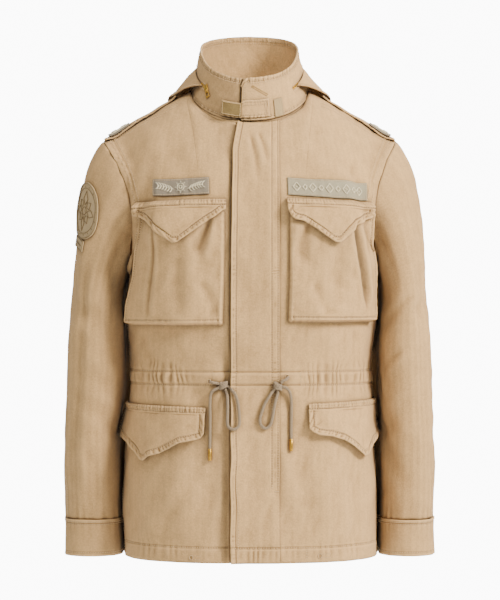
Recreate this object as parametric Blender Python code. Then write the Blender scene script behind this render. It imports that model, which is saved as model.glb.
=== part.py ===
"""A hip-length cotton field jacket, closed and filled out with nobody in it.

Metres, +Z up. The front faces -Y and +X is the wearer's left. The origin is the middle of the neck, at
the height of the shoulders. Every piece of cloth is a thin wall whose outer points come from one of five
surfaces: the torso, the sleeve, the collar, the hood and the shoulder.
"""
import functools
import math
from collections import namedtuple

import bmesh
import bpy
from mathutils import Matrix, Vector

# --- Cloth -------------------------------------------------------------------------------------------
CLOTH = 0.0018            # one wall of twill with its seam allowances
COLLAR_CLOTH = 0.0030     # two layers with the hood's pocket between them
GAP = 0.0004              # left between two pieces at a seam
OVER = 0.0011             # under a piece that lies on a panel, whose facets are not the same
STEP = 1e-4               # step for a surface's direction

# --- Heights and widths ------------------------------------------------------------------------------
HEM_Z = -0.730
ARMPIT_Z = -0.285
WAIST_Z = -0.447
SHOULDER_X, SHOULDER_Z = 0.2335, -0.072
NECK_X, NECK_Z = 0.0936, 0.009          # where the shoulder seam meets the collar
NECK_FRONT, NECK_FRONT_Z = 0.105, -0.050
NECK_BACK, NECK_BACK_Z = 0.075, 0.015
RIM_X, RIM_Z = 0.078, 0.074             # collar's top edge at the side
RIM_FRONT, RIM_FRONT_Z = 0.088, 0.020
RIM_BACK, RIM_BACK_Z = 0.080, 0.105
ARMHOLE_FRONT, ARMHOLE_BACK = 0.088, 0.085
ARMHOLE_WAIST = 0.015                   # how far the armhole seam cuts in at mid height
NECK_SHARE = 0.42                       # share of a panel's columns that end on the neck
CHEST_RISE, CHEST_ROUND, NECK_ROUND = 2.4, 1.7, 1.15

# --- Torso sections, hem to armpit -------------------------------------------------------------------
Section = namedtuple("Section", "z half_width centre front back squareness")
TORSO = [
    Section(-0.730, 0.2005, 0.0022, 0.152, 0.132, 2.5),
    Section(-0.640, 0.2010, 0.0014, 0.150, 0.132, 2.5),
    Section(-0.540, 0.1968, 0.0012, 0.144, 0.126, 2.5),
    Section(-0.447, 0.1912, 0.0028, 0.137, 0.118, 2.4),
    Section(-0.360, 0.1975, 0.0028, 0.146, 0.128, 2.4),
    Section(-0.285, 0.1980, 0.0055, 0.152, 0.135, 2.4),
]

# --- Sleeve sections, cuff seam to just under the armpit, all measured from the middle of the body ----
# The tuck is how far a sleeve reaches in behind the side of the body.
SleeveSection = namedtuple("SleeveSection", "z outer inner front back squareness tuck")
SLEEVE = [
    SleeveSection(-0.7300, 0.2945, 0.2060, 0.055, 0.043, 2.3, 0.017),
    SleeveSection(-0.6720, 0.2945, 0.2065, 0.056, 0.045, 2.3, 0.018),
    SleeveSection(-0.6200, 0.2950, 0.2070, 0.062, 0.052, 2.3, 0.020),
    SleeveSection(-0.5400, 0.2950, 0.2078, 0.071, 0.060, 2.3, 0.023),
    SleeveSection(-0.4600, 0.2930, 0.2010, 0.079, 0.070, 2.3, 0.028),
    SleeveSection(-0.4000, 0.2890, 0.2010, 0.083, 0.078, 2.3, 0.028),
    SleeveSection(-0.3300, 0.2835, 0.2060, 0.086, 0.084, 2.3, 0.024),
]
TUCK_ANGLE, TUCK_REACH = math.radians(232), math.radians(42)
CUFF_TOP, CUFF_BOTTOM = -0.6725, -0.7300
CUFF_LIFT = 0.0012                      # the cuff's second layer stands this proud
CAP_OUT, CAP_DOWN = 0.456, 0.380        # how a sleeve leaves the armhole, as shares of its run
CAP_END_OUT, CAP_END_DOWN = 0.076, 0.990

# --- Largest folds: a soft ridge (height above 0) or trough along a line on the front or the back ------
Fold = namedtuple("Fold", "face x0 z0 x1 z1 width height")
FOLDS = [
    Fold(1, -0.085, -0.545, -0.130, -0.635, 0.030, 0.0050),
    Fold(1, -0.092, -0.452, -0.070, -0.500, 0.022, -0.0030),
    Fold(1, 0.070, -0.495, 0.080, -0.630, 0.026, -0.0045),
    Fold(1, 0.125, -0.560, 0.110, -0.700, 0.028, 0.0035),
    Fold(1, -0.140, -0.375, -0.120, -0.430, 0.026, 0.0030),
    Fold(1, 0.120, -0.372, 0.135, -0.430, 0.026, 0.0030),
    Fold(1, 0.175, -0.215, 0.120, -0.160, 0.028, -0.0030),
    Fold(1, -0.172, -0.215, -0.120, -0.160, 0.028, -0.0030),
    Fold(-1, 0.175, -0.260, 0.085, -0.190, 0.034, -0.0050),
    Fold(-1, -0.175, -0.250, -0.095, -0.195, 0.034, -0.0045),
    Fold(-1, 0.060, -0.520, 0.080, -0.680, 0.034, -0.0045),
    Fold(-1, -0.100, -0.500, -0.085, -0.650, 0.036, 0.0040),
    Fold(-1, -0.020, -0.340, 0.030, -0.425, 0.034, 0.0035),
]
SleeveFold = namedtuple("SleeveFold", "angle0 z0 angle1 z1 width height")
SLEEVE_FOLDS = [
    SleeveFold(20, -0.320, 130, -0.375, 0.030, -0.0045),
    SleeveFold(60, -0.440, 150, -0.470, 0.028, -0.0040),
    SleeveFold(70, -0.480, 165, -0.540, 0.028, -0.0035),
    SleeveFold(200, -0.430, 300, -0.400, 0.030, -0.0045),
    SleeveFold(210, -0.500, 320, -0.540, 0.030, -0.0035),
]
Gather = namedtuple("Gather", "z reach height")
GATHERS = [Gather(WAIST_Z, 0.020, 0.0016), Gather(-0.712, 0.016, 0.0012)]
FRONT_COLUMNS, UPPER_ROWS = 14, 8
BACK_COLUMNS = 12                       # on each half of the back
CENTRE_GAP = 0.0012                     # u at which each front stops short of the middle
TORSO_ROWS = (-0.730, -0.712, -0.680, -0.630, -0.580, -0.530, -0.485, -0.463, -0.447, -0.431, -0.395,
              -0.350, -0.315, -0.285)


def smooth(value):
    """0 to 1 with a soft start and end."""
    value = max(0.0, min(1.0, value))
    return value * value * (3 - 2 * value)


def mix(low, high, share):
    return low + (high - low) * share


def row_at(table, z):
    """The table's row at height z, read from a smooth curve through its rows."""
    last = len(table) - 2
    index = next((k for k in range(last + 1) if z <= table[k + 1].z), last)
    low, high = table[index], table[index + 1]
    before, after = table[max(index - 1, 0)], table[min(index + 2, last + 1)]
    span = high.z - low.z
    t = max(0.0, min(1.0, (z - low.z) / span))
    values = []
    for field in low._fields:
        a, b = getattr(low, field), getattr(high, field)
        slope_a = (b - getattr(before, field)) / (high.z - before.z) * span
        slope_b = (getattr(after, field) - a) / (after.z - low.z) * span
        values.append(a * (1 + 2 * t) * (1 - t) ** 2 + slope_a * t * (1 - t) ** 2
                      + b * t * t * (3 - 2 * t) - slope_b * t * t * (1 - t))
    return type(low)(*values)


def bump(distance, width):
    """1 on the line, 0 from half a width away."""
    share = min(1.0, abs(distance) / (width / 2))
    return 0.5 + 0.5 * math.cos(math.pi * share)


def along(px, pz, x0, z0, x1, z1):
    """(distance from the line, how fully the point lies beside it)."""
    dx, dz = x1 - x0, z1 - z0
    share = ((px - x0) * dx + (pz - z0) * dz) / (dx * dx + dz * dz)
    nearest = max(0.0, min(1.0, share))
    away = math.hypot(px - x0 - nearest * dx, pz - z0 - nearest * dz)
    return away, math.sin(math.pi * (0.12 + 0.76 * nearest))


# --- The torso: face 1 is the front and -1 the back, side 1 the wearer's left and -1 the right. ---------
# u runs from the middle (0) to the side seam or armhole (1), t from the hem (0) by the armpit (1) to the
# neck and shoulder seam (2).
def top_edge(face, u):
    """(distance from the middle, distance forward or back, height) of the neck and shoulder seam."""
    if u <= NECK_SHARE:
        turn = u / NECK_SHARE * math.pi / 2
        reach, low = (NECK_FRONT, NECK_FRONT_Z) if face > 0 else (NECK_BACK, NECK_BACK_Z)
        return (NECK_X * math.sin(turn), max(GAP / 2, reach * math.cos(turn)),
                NECK_Z + (low - NECK_Z) * math.cos(turn))
    share = (u - NECK_SHARE) / (1 - NECK_SHARE)
    return mix(NECK_X, SHOULDER_X, share), GAP / 2, mix(NECK_Z, SHOULDER_Z, share)


def torso_base(face, side, u, t):
    """A point of the torso before its folds."""
    turn = u * math.pi / 2
    if t <= 1:
        z = mix(HEM_Z, ARMPIT_Z, t)
        s = row_at(TORSO, z)
        depth = s.front if face > 0 else s.back
        x = s.centre + side * s.half_width * math.sin(turn) ** (2 / s.squareness)
        return Vector((x, -face * depth * abs(math.cos(turn)) ** (2 / s.squareness), z))
    v = t - 1
    s = TORSO[-1]
    depth = s.front if face > 0 else s.back
    edge = ARMHOLE_FRONT if face > 0 else ARMHOLE_BACK
    top_x, top_y, top_z = top_edge(face, u)
    share = smooth(v / 0.4)
    across = mix(math.sin(turn) ** (2 / s.squareness), top_x / SHOULDER_X, share)
    past_neck = max(0.0, (u - NECK_SHARE) / (1 - NECK_SHARE))
    fullness = mix(abs(math.cos(turn)) ** (2 / s.squareness), 1 - past_neck ** 3, share)
    seam = s.half_width + (SHOULDER_X - s.half_width) * v ** 2.5 - ARMHOLE_WAIST * math.sin(math.pi * v)
    round_off = mix(NECK_ROUND, CHEST_ROUND, smooth(u / NECK_SHARE))
    rise = max(0.0, 1 - v ** CHEST_RISE) ** (1 / round_off)
    middle = top_y + (depth - top_y) * rise
    forward = (1 - fullness) * edge * 2 * math.sqrt(max(0.0, v * (1 - v))) + fullness * middle
    x = s.centre * (1 - v ** 3) + side * seam * across
    return Vector((x, -face * max(forward, GAP / 2), mix(ARMPIT_Z, top_z, v)))


def torso_normal(face, side, u, t):
    u0, u1 = max(u - STEP, STEP), min(max(u, STEP) + STEP, 1.0)
    t0, t1 = max(t - STEP, 0.0), min(t + STEP, 2.0)
    across = torso_base(face, side, u1, t) - torso_base(face, side, u0, t)
    inside_u = min(max(u, STEP), 1 - STEP)
    up = torso_base(face, side, inside_u, t1) - torso_base(face, side, inside_u, t0)
    return across.cross(up).normalized() * side * face


def relief(face, side, u, point):
    """How far folds and gathers move the cloth out."""
    total = 0.0
    for fold in FOLDS:
        if fold.face == face:
            away, full = along(point.x, point.z, fold.x0, fold.z0, fold.x1, fold.z1)
            total += fold.height * bump(away, 2 * fold.width) * full
    columns = FRONT_COLUMNS if face > 0 else BACK_COLUMNS
    for gather in GATHERS:
        wave = math.cos(math.pi * columns * u) * smooth(u / 0.35) * smooth((1 - u) / 0.1)
        total += gather.height * wave * bump(point.z - gather.z, 2 * gather.reach)
    return total


def torso(face, side, u, t, lift=0.0):
    """A point of the torso's cloth, moved out by lift."""
    point = torso_base(face, side, u, t)
    return point + torso_normal(face, side, u, t) * (relief(face, side, u, point) + lift)


def t_at(face, u, z):
    if z <= ARMPIT_Z:
        return (z - HEM_Z) / (ARMPIT_Z - HEM_Z)
    return 1 + min(1.0, (z - ARMPIT_Z) / (top_edge(face, u)[2] - ARMPIT_Z))


@functools.lru_cache(maxsize=None)
def girth(side, z):
    """(face, u, length) along the torso at height z, from the middle of the front to that of the back."""
    stops = [(1, k / 48) for k in range(49)] + [(-1, 1 - k / 48) for k in range(1, 49)]
    run, length, last = [], 0.0, None
    for face, u in stops:
        point = torso_base(face, side, u, t_at(face, u, z))
        length += (point - last).length if last else 0.0
        run.append((face, u, length))
        last = point
    return run


def place(side, across, z, lift):
    """A point of the torso at height z, a taped length across from the middle of the front."""
    if across < 0:
        side, across = -side, -across
    run = girth(side, round(z, 6))
    k = next((k for k in range(1, len(run)) if run[k][2] >= across), len(run) - 1)
    face, u1, far = run[k]
    u0, near = (run[k - 1][1], run[k - 1][2])
    u = mix(u0, u1, (across - near) / (far - near))
    return torso(face, side, u, t_at(face, u, z), lift)


def on_front(x, z, lift):
    """A point of the front above or below x = 0 by its place seen from the front."""
    centre = torso_base(1, 1, 0.0, t_at(1, 0.0, z)).x
    side = 1 if x >= centre else -1
    low, high = 0.0, 1.0
    for _ in range(30):
        u = (low + high) / 2
        if side * (torso_base(1, side, u, t_at(1, u, z)).x - x) < 0:
            low = u
        else:
            high = u
    return torso(1, side, u, t_at(1, u, z), lift)


# --- The sleeve: angle 0 is the outer edge, 90 the front, 180 the body side and 270 the back ------------
def armhole(side, angle):
    """(point, torso normal) on the armhole seam."""
    face = 1 if math.sin(angle) >= 0 else -1
    v = (1 + math.cos(angle)) / 2
    return torso_base(face, side, 1.0, 1 + v), torso_normal(face, side, 1.0, 1 + v)


def sleeve_ring(side, angle, z):
    s = row_at(SLEEVE, z)
    power = 2 / s.squareness
    cos, sin = math.cos(angle), math.sin(angle)
    inner = s.inner + side * row_at(TORSO, min(z, ARMPIT_Z)).centre
    half = (s.outer - inner) / 2
    x = inner + half + half * math.copysign(abs(cos) ** power, cos)
    x -= s.tuck * bump(angle % (2 * math.pi) - TUCK_ANGLE, 2 * TUCK_REACH)
    y = (-s.front if sin > 0 else s.back) * abs(sin) ** power
    return Vector((side * x, y, z))


def sleeve_base(side, angle, t):
    """t runs from the armhole (0) to just under the armpit (1), then to the cuff's hem (2)."""
    if t >= 1:
        return sleeve_ring(side, angle, mix(SLEEVE[-1].z, SLEEVE[0].z, t - 1))
    start, _ = armhole(side, angle)
    start = start + Vector((side * GAP * 1.3, 0, 0))
    end = sleeve_ring(side, angle, SLEEVE[-1].z)
    run = (end - start).length
    leave = Vector((side * CAP_OUT, 0, -CAP_DOWN)) * run
    arrive = Vector((side * CAP_END_OUT, 0, -CAP_END_DOWN)) * run
    return (start * (1 + 2 * t) * (1 - t) ** 2 + leave * t * (1 - t) ** 2
            + end * t * t * (3 - 2 * t) - arrive * t * t * (1 - t))


def sleeve_normal(side, angle, t):
    round_way = sleeve_base(side, angle + STEP, t) - sleeve_base(side, angle - STEP, t)
    t0, t1 = max(t - STEP, 0.0), min(t + STEP, 2.0)
    down = sleeve_base(side, angle, t1) - sleeve_base(side, angle, t0)
    own = round_way.cross(down).normalized() * side
    upper = (1 + math.cos(angle)) / 2 * (1 - smooth(t / 0.25))
    return mix(own, armhole(side, angle)[1], upper).normalized()


def sleeve(side, angle, t, lift=0.0):
    point = sleeve_base(side, angle, t)
    turn = math.degrees(angle) % 360
    total = lift
    for fold in SLEEVE_FOLDS:
        away, full = along(turn / 1000, point.z, fold.angle0 / 1000, fold.z0, fold.angle1 / 1000, fold.z1)
        total += fold.height * bump(away, 2 * fold.width) * full
    return point + sleeve_normal(side, angle, t) * total


def sleeve_t(z):
    return 1 + (z - SLEEVE[-1].z) / (SLEEVE[0].z - SLEEVE[-1].z)


# --- The collar: angle 0 is the middle of the front, 90 the wearer's left; h 0 the neck seam, 1 the rim ---
OVERLAP_START, OVERLAP_END = math.radians(-8), math.radians(372)
OVERLAP_LIFT = 0.0038                   # the left end lies over the right one
ZIP_H = 0.50                            # height of the zip that lets the hood out
FOOT_GAP = 0.0013


def collar_base(angle, h):
    cos, sin = math.cos(angle), math.sin(angle)
    if cos > 0:
        foot_y, foot_z = -NECK_FRONT * cos, NECK_Z + (NECK_FRONT_Z - NECK_Z) * cos
        rim_y, rim_z = -RIM_FRONT * cos, RIM_Z + (RIM_FRONT_Z - RIM_Z) * cos
    else:
        foot_y, foot_z = -NECK_BACK * cos, NECK_Z - (NECK_BACK_Z - NECK_Z) * cos
        rim_y, rim_z = -RIM_BACK * cos, RIM_Z + (RIM_BACK_Z - RIM_Z) * (-cos) ** 0.7
    foot = Vector((NECK_X * sin, foot_y, foot_z + FOOT_GAP))
    return foot.lerp(Vector((RIM_X * sin, rim_y, rim_z)), h)


def collar_normal(angle, h):
    h0, h1 = max(h - STEP, 0.0), min(h + STEP, 1.0)
    round_way = collar_base(angle + STEP, h) - collar_base(angle - STEP, h)
    return round_way.cross(collar_base(angle, h1) - collar_base(angle, h0)).normalized()


def overlap_lift(angle):
    """The left end stands off by the right end's thickness, and comes down to the neck past it."""
    return OVERLAP_LIFT * (1 - smooth((angle - math.radians(16)) / math.radians(34)))


def collar(angle, h, lift=0.0):
    return collar_base(angle, h) + collar_normal(angle, h) * lift


# --- The hood: let out of the zip and lying over the shoulders and the top of the back -----------------
HoodEdge = namedtuple("HoodEdge", "z x y height")       # z holds the turn round the neck, in degrees
HOOD_EDGE = [
    HoodEdge(57, 0.081, -0.052, 0.014),
    HoodEdge(68, 0.104, -0.036, 0.009),
    HoodEdge(80, 0.122, -0.014, 0.001),
    HoodEdge(95, 0.132, 0.020, -0.004),
    HoodEdge(115, 0.132, 0.076, -0.028),
    HoodEdge(135, 0.112, 0.124, -0.078),
    HoodEdge(158, 0.062, 0.150, -0.140),
    HoodEdge(180, 0.000, 0.156, -0.160),
]
HOOD_START, HOOD_END = math.radians(57), math.radians(303)
HOOD_BULGE = 0.024
HOOD_GAP = 0.0009                       # from the collar's outer points to the hood's root


def hood_base(angle, w):
    """w runs from the zip (0) to the hood's free edge (1)."""
    turn = math.degrees(angle)
    side, turn = (1, turn) if turn <= 180 else (-1, 360 - turn)
    edge = row_at(HOOD_EDGE, turn)
    root = collar(angle, ZIP_H, HOOD_GAP)
    tip = Vector((side * edge.x, edge.y, edge.height))
    fall = tip - root
    out = Vector((side * math.sin(math.radians(turn)) * 0.4, 0.45 * smooth((turn - 90) / 60), 0.8))
    size = HOOD_BULGE * smooth(fall.length / 0.14) * math.sin(math.pi * w ** 0.7)
    return root + fall * w + out.normalized() * size


def hood(angle, w, lift=0.0):
    w0, w1 = max(w - 0.01, 0.0), min(w + 0.01, 1.0)
    round_way = hood_base(angle + 0.01, w) - hood_base(angle - 0.01, w)
    normal = (hood_base(angle, w1) - hood_base(angle, w0)).cross(round_way).normalized()
    return hood_base(angle, w) + normal * lift


# --- The top of the shoulder, for the strap: x along the seam, offset forward (below 0) or back of it ----
def shoulder(side, x, offset, lift):
    face = 1 if offset <= 0 else -1
    u = NECK_SHARE + (x - NECK_X) / (SHOULDER_X - NECK_X) * (1 - NECK_SHARE)
    length, last, t = 0.0, torso_base(face, side, u, 2.0), 2.0
    for k in range(1, 60):
        t = 2 - 0.3 * (k / 60) ** 2
        point = torso_base(face, side, u, t)
        length += (point - last).length
        if length >= abs(offset):
            break
        last = point
    point, normal = torso_base(face, side, u, t), torso_normal(face, side, u, t)
    if abs(offset) < 0.001:
        point, normal = torso_base(face, side, u, 2.0), Vector((0.5 * side, 0, 0.866))
        point.y = 0.0
    return point + normal * lift


# --- Pieces --------------------------------------------------------------------------------------------
LOOKS = {                               # name: colour, roughness, metallic
    "twill": ("#C4AB8A", 0.92, 0.0),
    "felt": ("#A68A62", 0.98, 0.0),
    "tape": ("#A79B8B", 0.90, 0.0),
    "cord": ("#A5937D", 0.85, 0.0),
    "brass": ("#C9A24B", 0.35, 1.0),
}


def linear(code):
    """An sRGB hex colour as linear RGBA."""
    parts = [int(code[k:k + 2], 16) / 255 for k in (1, 3, 5)]
    return [p / 12.92 if p <= 0.04045 else ((p + 0.055) / 1.055) ** 2.4 for p in parts] + [1.0]


def finish(name, mesh, look):
    """The mesh as the part's next object, with its own material."""
    code, roughness, metallic = LOOKS[look]
    material = bpy.data.materials.new(name + "_" + look)
    material.use_nodes = True
    shader = material.node_tree.nodes["Principled BSDF"]
    shader.inputs["Base Color"].default_value = linear(code)
    shader.inputs["Roughness"].default_value = roughness
    shader.inputs["Metallic"].default_value = metallic
    mesh.materials.append(material)
    piece = bpy.data.objects.new(name, mesh)
    bpy.context.scene.collection.objects.link(piece)
    return piece


def to_mesh(name, bm):
    bmesh.ops.recalc_face_normals(bm, faces=bm.faces[:])
    mesh = bpy.data.meshes.new(name)
    bm.to_mesh(mesh)
    bm.free()
    mesh.shade_smooth()
    mesh.set_sharp_from_angle(angle=math.radians(40))
    return mesh


def wall(name, look, rows, columns, surface, thick, ring=False):
    """A wall of cloth: surface(row, column, lift) gives its outer points at lift 0."""
    turns = columns + [columns[0]] if ring else columns
    bm = bmesh.new()
    spot = bm.verts.layers.int.new("spot")
    bmesh.ops.create_grid(bm, x_segments=len(turns) - 1, y_segments=len(rows) - 1, size=1.0)
    for vert in bm.verts:
        column = round((vert.co.x + 1) / 2 * (len(turns) - 1))
        row = round((vert.co.y + 1) / 2 * (len(rows) - 1))
        vert[spot] = row * len(turns) + column
    for vert in bm.verts:
        vert.co = surface(rows[vert[spot] // len(turns)], turns[vert[spot] % len(turns)], 0.0)
    if ring:
        bmesh.ops.remove_doubles(bm, verts=bm.verts[:], dist=1e-6)
    inner = bmesh.ops.extrude_face_region(bm, geom=bm.faces[:], use_keep_orig=True)
    for vert in (item for item in inner["geom"] if isinstance(item, bmesh.types.BMVert)):
        vert.co = surface(rows[vert[spot] // len(turns)], turns[vert[spot] % len(turns)], -thick)
    return finish(name, to_mesh(name, bm), look)


def steps(low, high, count):
    return [mix(low, high, k / count) for k in range(count + 1)]


SIDES = (("right", -1), ("left", 1))
UPPER_STEPS = [(1 - math.cos(math.pi * k / UPPER_ROWS)) / 2 for k in range(1, UPPER_ROWS + 1)]
T_ROWS = [(z - HEM_Z) / (ARMPIT_Z - HEM_Z) for z in TORSO_ROWS] + [1 + v for v in UPPER_STEPS]


def make_body():
    """Two fronts that meet under the fly, and the back, 0.4 mm apart at the seams."""
    for word, side in SIDES:
        columns = [max(u, CENTRE_GAP) for u in steps(0.0, 1.0, FRONT_COLUMNS)]
        wall(word + "_front", "twill", T_ROWS, columns,
             lambda t, u, lift, side=side: torso(1, side, u, t, lift) - Vector((0, GAP / 2, 0)), CLOTH)
    half = steps(0.0, 1.0, BACK_COLUMNS)
    columns = [-u for u in reversed(half)] + half[1:]
    wall("back", "twill", T_ROWS, columns,
         lambda t, u, lift: torso(-1, 1 if u >= 0 else -1, abs(u), t, lift) + Vector((0, GAP / 2, 0)),
         CLOTH)


def make_sleeves():
    """A tube from each armhole to the cuff seam, and the doubled cuff below it."""
    turns = [math.pi * k / UPPER_ROWS for k in range(2 * UPPER_ROWS)]
    rows = steps(0.0, 1.0, 7) + [sleeve_t(z) for z in (-0.375, -0.42, -0.46, -0.505, -0.55, -0.60, -0.64,
                                                       CUFF_TOP + GAP)]
    cuff_rows = [sleeve_t(z) for z in (CUFF_TOP, -0.690, -0.712, CUFF_BOTTOM)]
    for word, side in SIDES:
        wall(word + "_sleeve", "twill", rows, turns,
             lambda t, angle, lift, side=side: sleeve(side, angle, t, lift), CLOTH, ring=True)
        wall(word + "_cuff", "twill", cuff_rows, turns,
             lambda t, angle, lift, side=side: sleeve(side, angle, t, lift + CUFF_LIFT),
             CLOTH + CUFF_LIFT, ring=True)


def make_collar():
    turns = steps(OVERLAP_START, OVERLAP_END, 34)
    wall("collar", "twill", [0.0, 0.25, ZIP_H, 0.75, 1.0], turns,
         lambda h, angle, lift: collar(angle, h, lift + overlap_lift(angle)), COLLAR_CLOTH)


TAB_H = (0.11, 0.49)                    # the tab's lower and upper edge on the collar
TAB_TURN = (-27.5, 19.0)                # its free end and its sewn end, in degrees
FELT_TURN, PATCH_TURN = (-26.5, -7.5), (22.5, 30.0)
TAB_CLOTH, FELT_CLOTH, PATCH_CLOTH = 0.0020, 0.0010, 0.0010


def make_collar_trim():
    """The closing tab, the felt square on its free end and the patch that the felt grips."""
    on_collar = OVERLAP_LIFT + GAP
    inset = 0.025
    for name, look, turn, edge, lift, thick in (
            ("collar_tab", "twill", TAB_TURN, 0.0, on_collar + TAB_CLOTH, TAB_CLOTH),
            ("tab_felt", "felt", FELT_TURN, inset, on_collar + TAB_CLOTH + GAP + FELT_CLOTH, FELT_CLOTH),
            ("collar_loop_patch", "felt", PATCH_TURN, 0.0, on_collar + PATCH_CLOTH, PATCH_CLOTH)):
        turns = [math.radians(a) for a in steps(turn[0], turn[1], 8)]
        drop = (lambda a: overlap_lift(a) - OVERLAP_LIFT) if name == "collar_loop_patch" else (lambda a: 0.0)
        wall(name, look, [TAB_H[0] + edge, 0.30, TAB_H[1] - edge], turns,
             lambda h, angle, out, lift=lift, drop=drop: collar(angle, h, lift + drop(angle) + out), thick)


def make_hood():
    wall("hood", "twill", [0.0, 0.12, 0.3, 0.5, 0.7, 0.87, 1.0], steps(HOOD_START, HOOD_END, 24),
         lambda w, angle, lift: hood(angle, w, lift), CLOTH)


FLY_CLOTH = 0.0026
FLY_RIGHT_EDGE = 0.046                  # where the fly's inner edge is stitched down
FLY_EDGE_CLOTH = 0.0014
FLY_TOP = 1.985                         # just short of the neck seam
FlyEdge = namedtuple("FlyEdge", "z x")
FLY_EDGE = [FlyEdge(-0.730, -0.0283), FlyEdge(-0.300, -0.0283), FlyEdge(-0.180, -0.0268),
            FlyEdge(-0.096, -0.0253), FlyEdge(-0.052, -0.0176)]


def across_front(x, t, lift):
    """A point of the front on row t, by its place seen from the front."""
    centre = torso_base(1, 1, 0.0, t).x
    side = 1 if x >= centre else -1
    low, high = 0.0, 1.0
    for _ in range(30):
        u = (low + high) / 2
        if side * (torso_base(1, side, u, t).x - x) < 0:
            low = u
        else:
            high = u
    return torso(1, side, u, t, lift)


def make_placket():
    """The fly, thick at its free edge and thin where it is stitched down, from the hem to the neck."""
    def strip(t, share, lift):
        height = torso_base(1, 1, 0.0, t).z
        x = mix(row_at(FLY_EDGE, height).x, FLY_RIGHT_EDGE, share)
        thick = mix(FLY_CLOTH, FLY_EDGE_CLOTH, smooth(share * 1.6))
        return across_front(x, t, OVER + (thick if lift == 0 else 0.0))

    wall("placket", "twill", [min(t, FLY_TOP) for t in T_ROWS], steps(0.0, 1.0, 5), strip, FLY_CLOTH)


# --- Pockets: across is taped from the middle of the front, drop down from the flap's top edge ----------
Pocket = namedtuple("Pocket", "across top_width bottom_width top bottom")
CHEST_POCKETS = {"right": Pocket(0.0430, 0.157, 0.172, -0.190, -0.3620),
                 "left": Pocket(0.0560, 0.147, 0.160, -0.190, -0.3600)}
POCKET_TOP_LIFT, POCKET_BOTTOM_LIFT, GUSSET = 0.009, 0.017, 0.010
LOW = OVER + CLOTH                      # a piece that lies flat on a panel
POCKET_LOW = LOW + 0.0006
BELLOWS_RUN = 0.160                     # height over which the bellows fills out to its depth
FLAP_LOW, FLAP_OVER, FLAP_EASE, FLAP_RAMP = LOW + 0.0004, 0.0010, 0.005, 0.009
HIP_SINK = 0.0004               # a hip flap's band lies this much closer than a chest flap's
ACROSS_STEPS = [0.0, 0.025, 0.06, 0.14, 0.3, 0.5, 0.7, 0.86, 0.94, 0.975, 1.0]
UP_STEPS = [0.0, 0.022, 0.055, 0.15, 0.32, 0.5, 0.68, 0.86, 1.0]


def pocket_width(pocket, z):
    return mix(pocket.bottom_width, pocket.top_width, (z - pocket.bottom) / (pocket.top - pocket.bottom))


def pocket_lift(pocket, share, z, ease=0.0):
    """How far the bellows pocket stands off the front."""
    side_way = min(share, 1 - share) * pocket.bottom_width + ease
    up_way = z - pocket.bottom + ease
    deep = mix(POCKET_BOTTOM_LIFT, POCKET_TOP_LIFT, smooth((z - pocket.bottom) / BELLOWS_RUN))
    return mix(POCKET_LOW, deep, smooth(side_way / GUSSET) * smooth(up_way / GUSSET))


def make_chest_pockets():
    for word, side in SIDES:
        pocket = CHEST_POCKETS[word]

        def bellows(z, share, lift, side=side, pocket=pocket):
            across = pocket.across + share * pocket_width(pocket, z)
            return place(side, across, z, pocket_lift(pocket, share, z) + lift)

        wall(word + "_chest_pocket", "twill", [mix(pocket.bottom, pocket.top, r) for r in UP_STEPS],
             ACROSS_STEPS, bellows, CLOTH)


FlapEdge = namedtuple("FlapEdge", "z drop")             # z holds the share across, from the inner end
Flap = namedtuple("Flap", "across width top tilt stand edge")
CHEST_EDGE = [FlapEdge(0.0, 0.018), FlapEdge(0.10, 0.024), FlapEdge(0.22, 0.034), FlapEdge(0.47, 0.067),
              FlapEdge(0.53, 0.067), FlapEdge(0.78, 0.034), FlapEdge(0.90, 0.024), FlapEdge(1.0, 0.019)]
HIP_EDGE = [FlapEdge(0.0, 0.040), FlapEdge(0.06, 0.050), FlapEdge(0.30, 0.058), FlapEdge(0.47, 0.086),
            FlapEdge(0.53, 0.086), FlapEdge(0.70, 0.060), FlapEdge(0.94, 0.052), FlapEdge(1.0, 0.042)]
FLAPS = {
    ("chest", "right"): Flap(0.0410, 0.162, -0.1705, -0.006, 0.0, CHEST_EDGE),
    ("chest", "left"): Flap(0.0530, 0.150, -0.1695, -0.006, 0.0, CHEST_EDGE),
    ("hip", "right"): Flap(0.0700, 0.205, -0.4915, 0.004, 0.004, HIP_EDGE),
    ("hip", "left"): Flap(0.0890, 0.205, -0.4860, 0.006, 0.004, HIP_EDGE),
}
FLAP_DROPS = (0.0, 0.16, 0.45, 0.75, 1.0)


def make_flaps():
    """Pointed flaps, sewn down along the top and lying over the pocket below."""
    for (kind, word), flap in FLAPS.items():
        side = dict(SIDES)[word]
        pocket = CHEST_POCKETS[word] if kind == "chest" else None

        def cover(share_down, share, lift, flap=flap, side=side, pocket=pocket):
            top = flap.top + flap.tilt * share
            z = top - row_at(flap.edge, share).drop * share_down
            across = flap.across + share * flap.width
            stand = FLAP_LOW - HIP_SINK * (kind == "hip") + flap.stand * smooth(share_down)
            if pocket:
                inside = (across - pocket.across) / pocket_width(pocket, z)
                under = pocket_lift(pocket, max(0.0, min(1.0, inside)), min(z, pocket.top), FLAP_EASE)
                over = under + LOW + FLAP_OVER
                stand = max(stand, mix(FLAP_LOW, over, smooth((top - z) / FLAP_RAMP)))
            return place(side, across, z, stand + lift)

        wall(word + "_" + kind + "_flap", "twill", FLAP_DROPS, steps(0.0, 1.0, 14), cover, CLOTH)


# --- Flat trim --------------------------------------------------------------------------------------------
Tape = namedtuple("Tape", "across width top drop height")
TAPES = {"right": Tape(0.0660, 0.0935, -0.1385, -0.0015, 0.0255),
         "left": Tape(0.0545, 0.1330, -0.1375, -0.0075, 0.0270)}
TAPE_CLOTH = 0.0012


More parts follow.
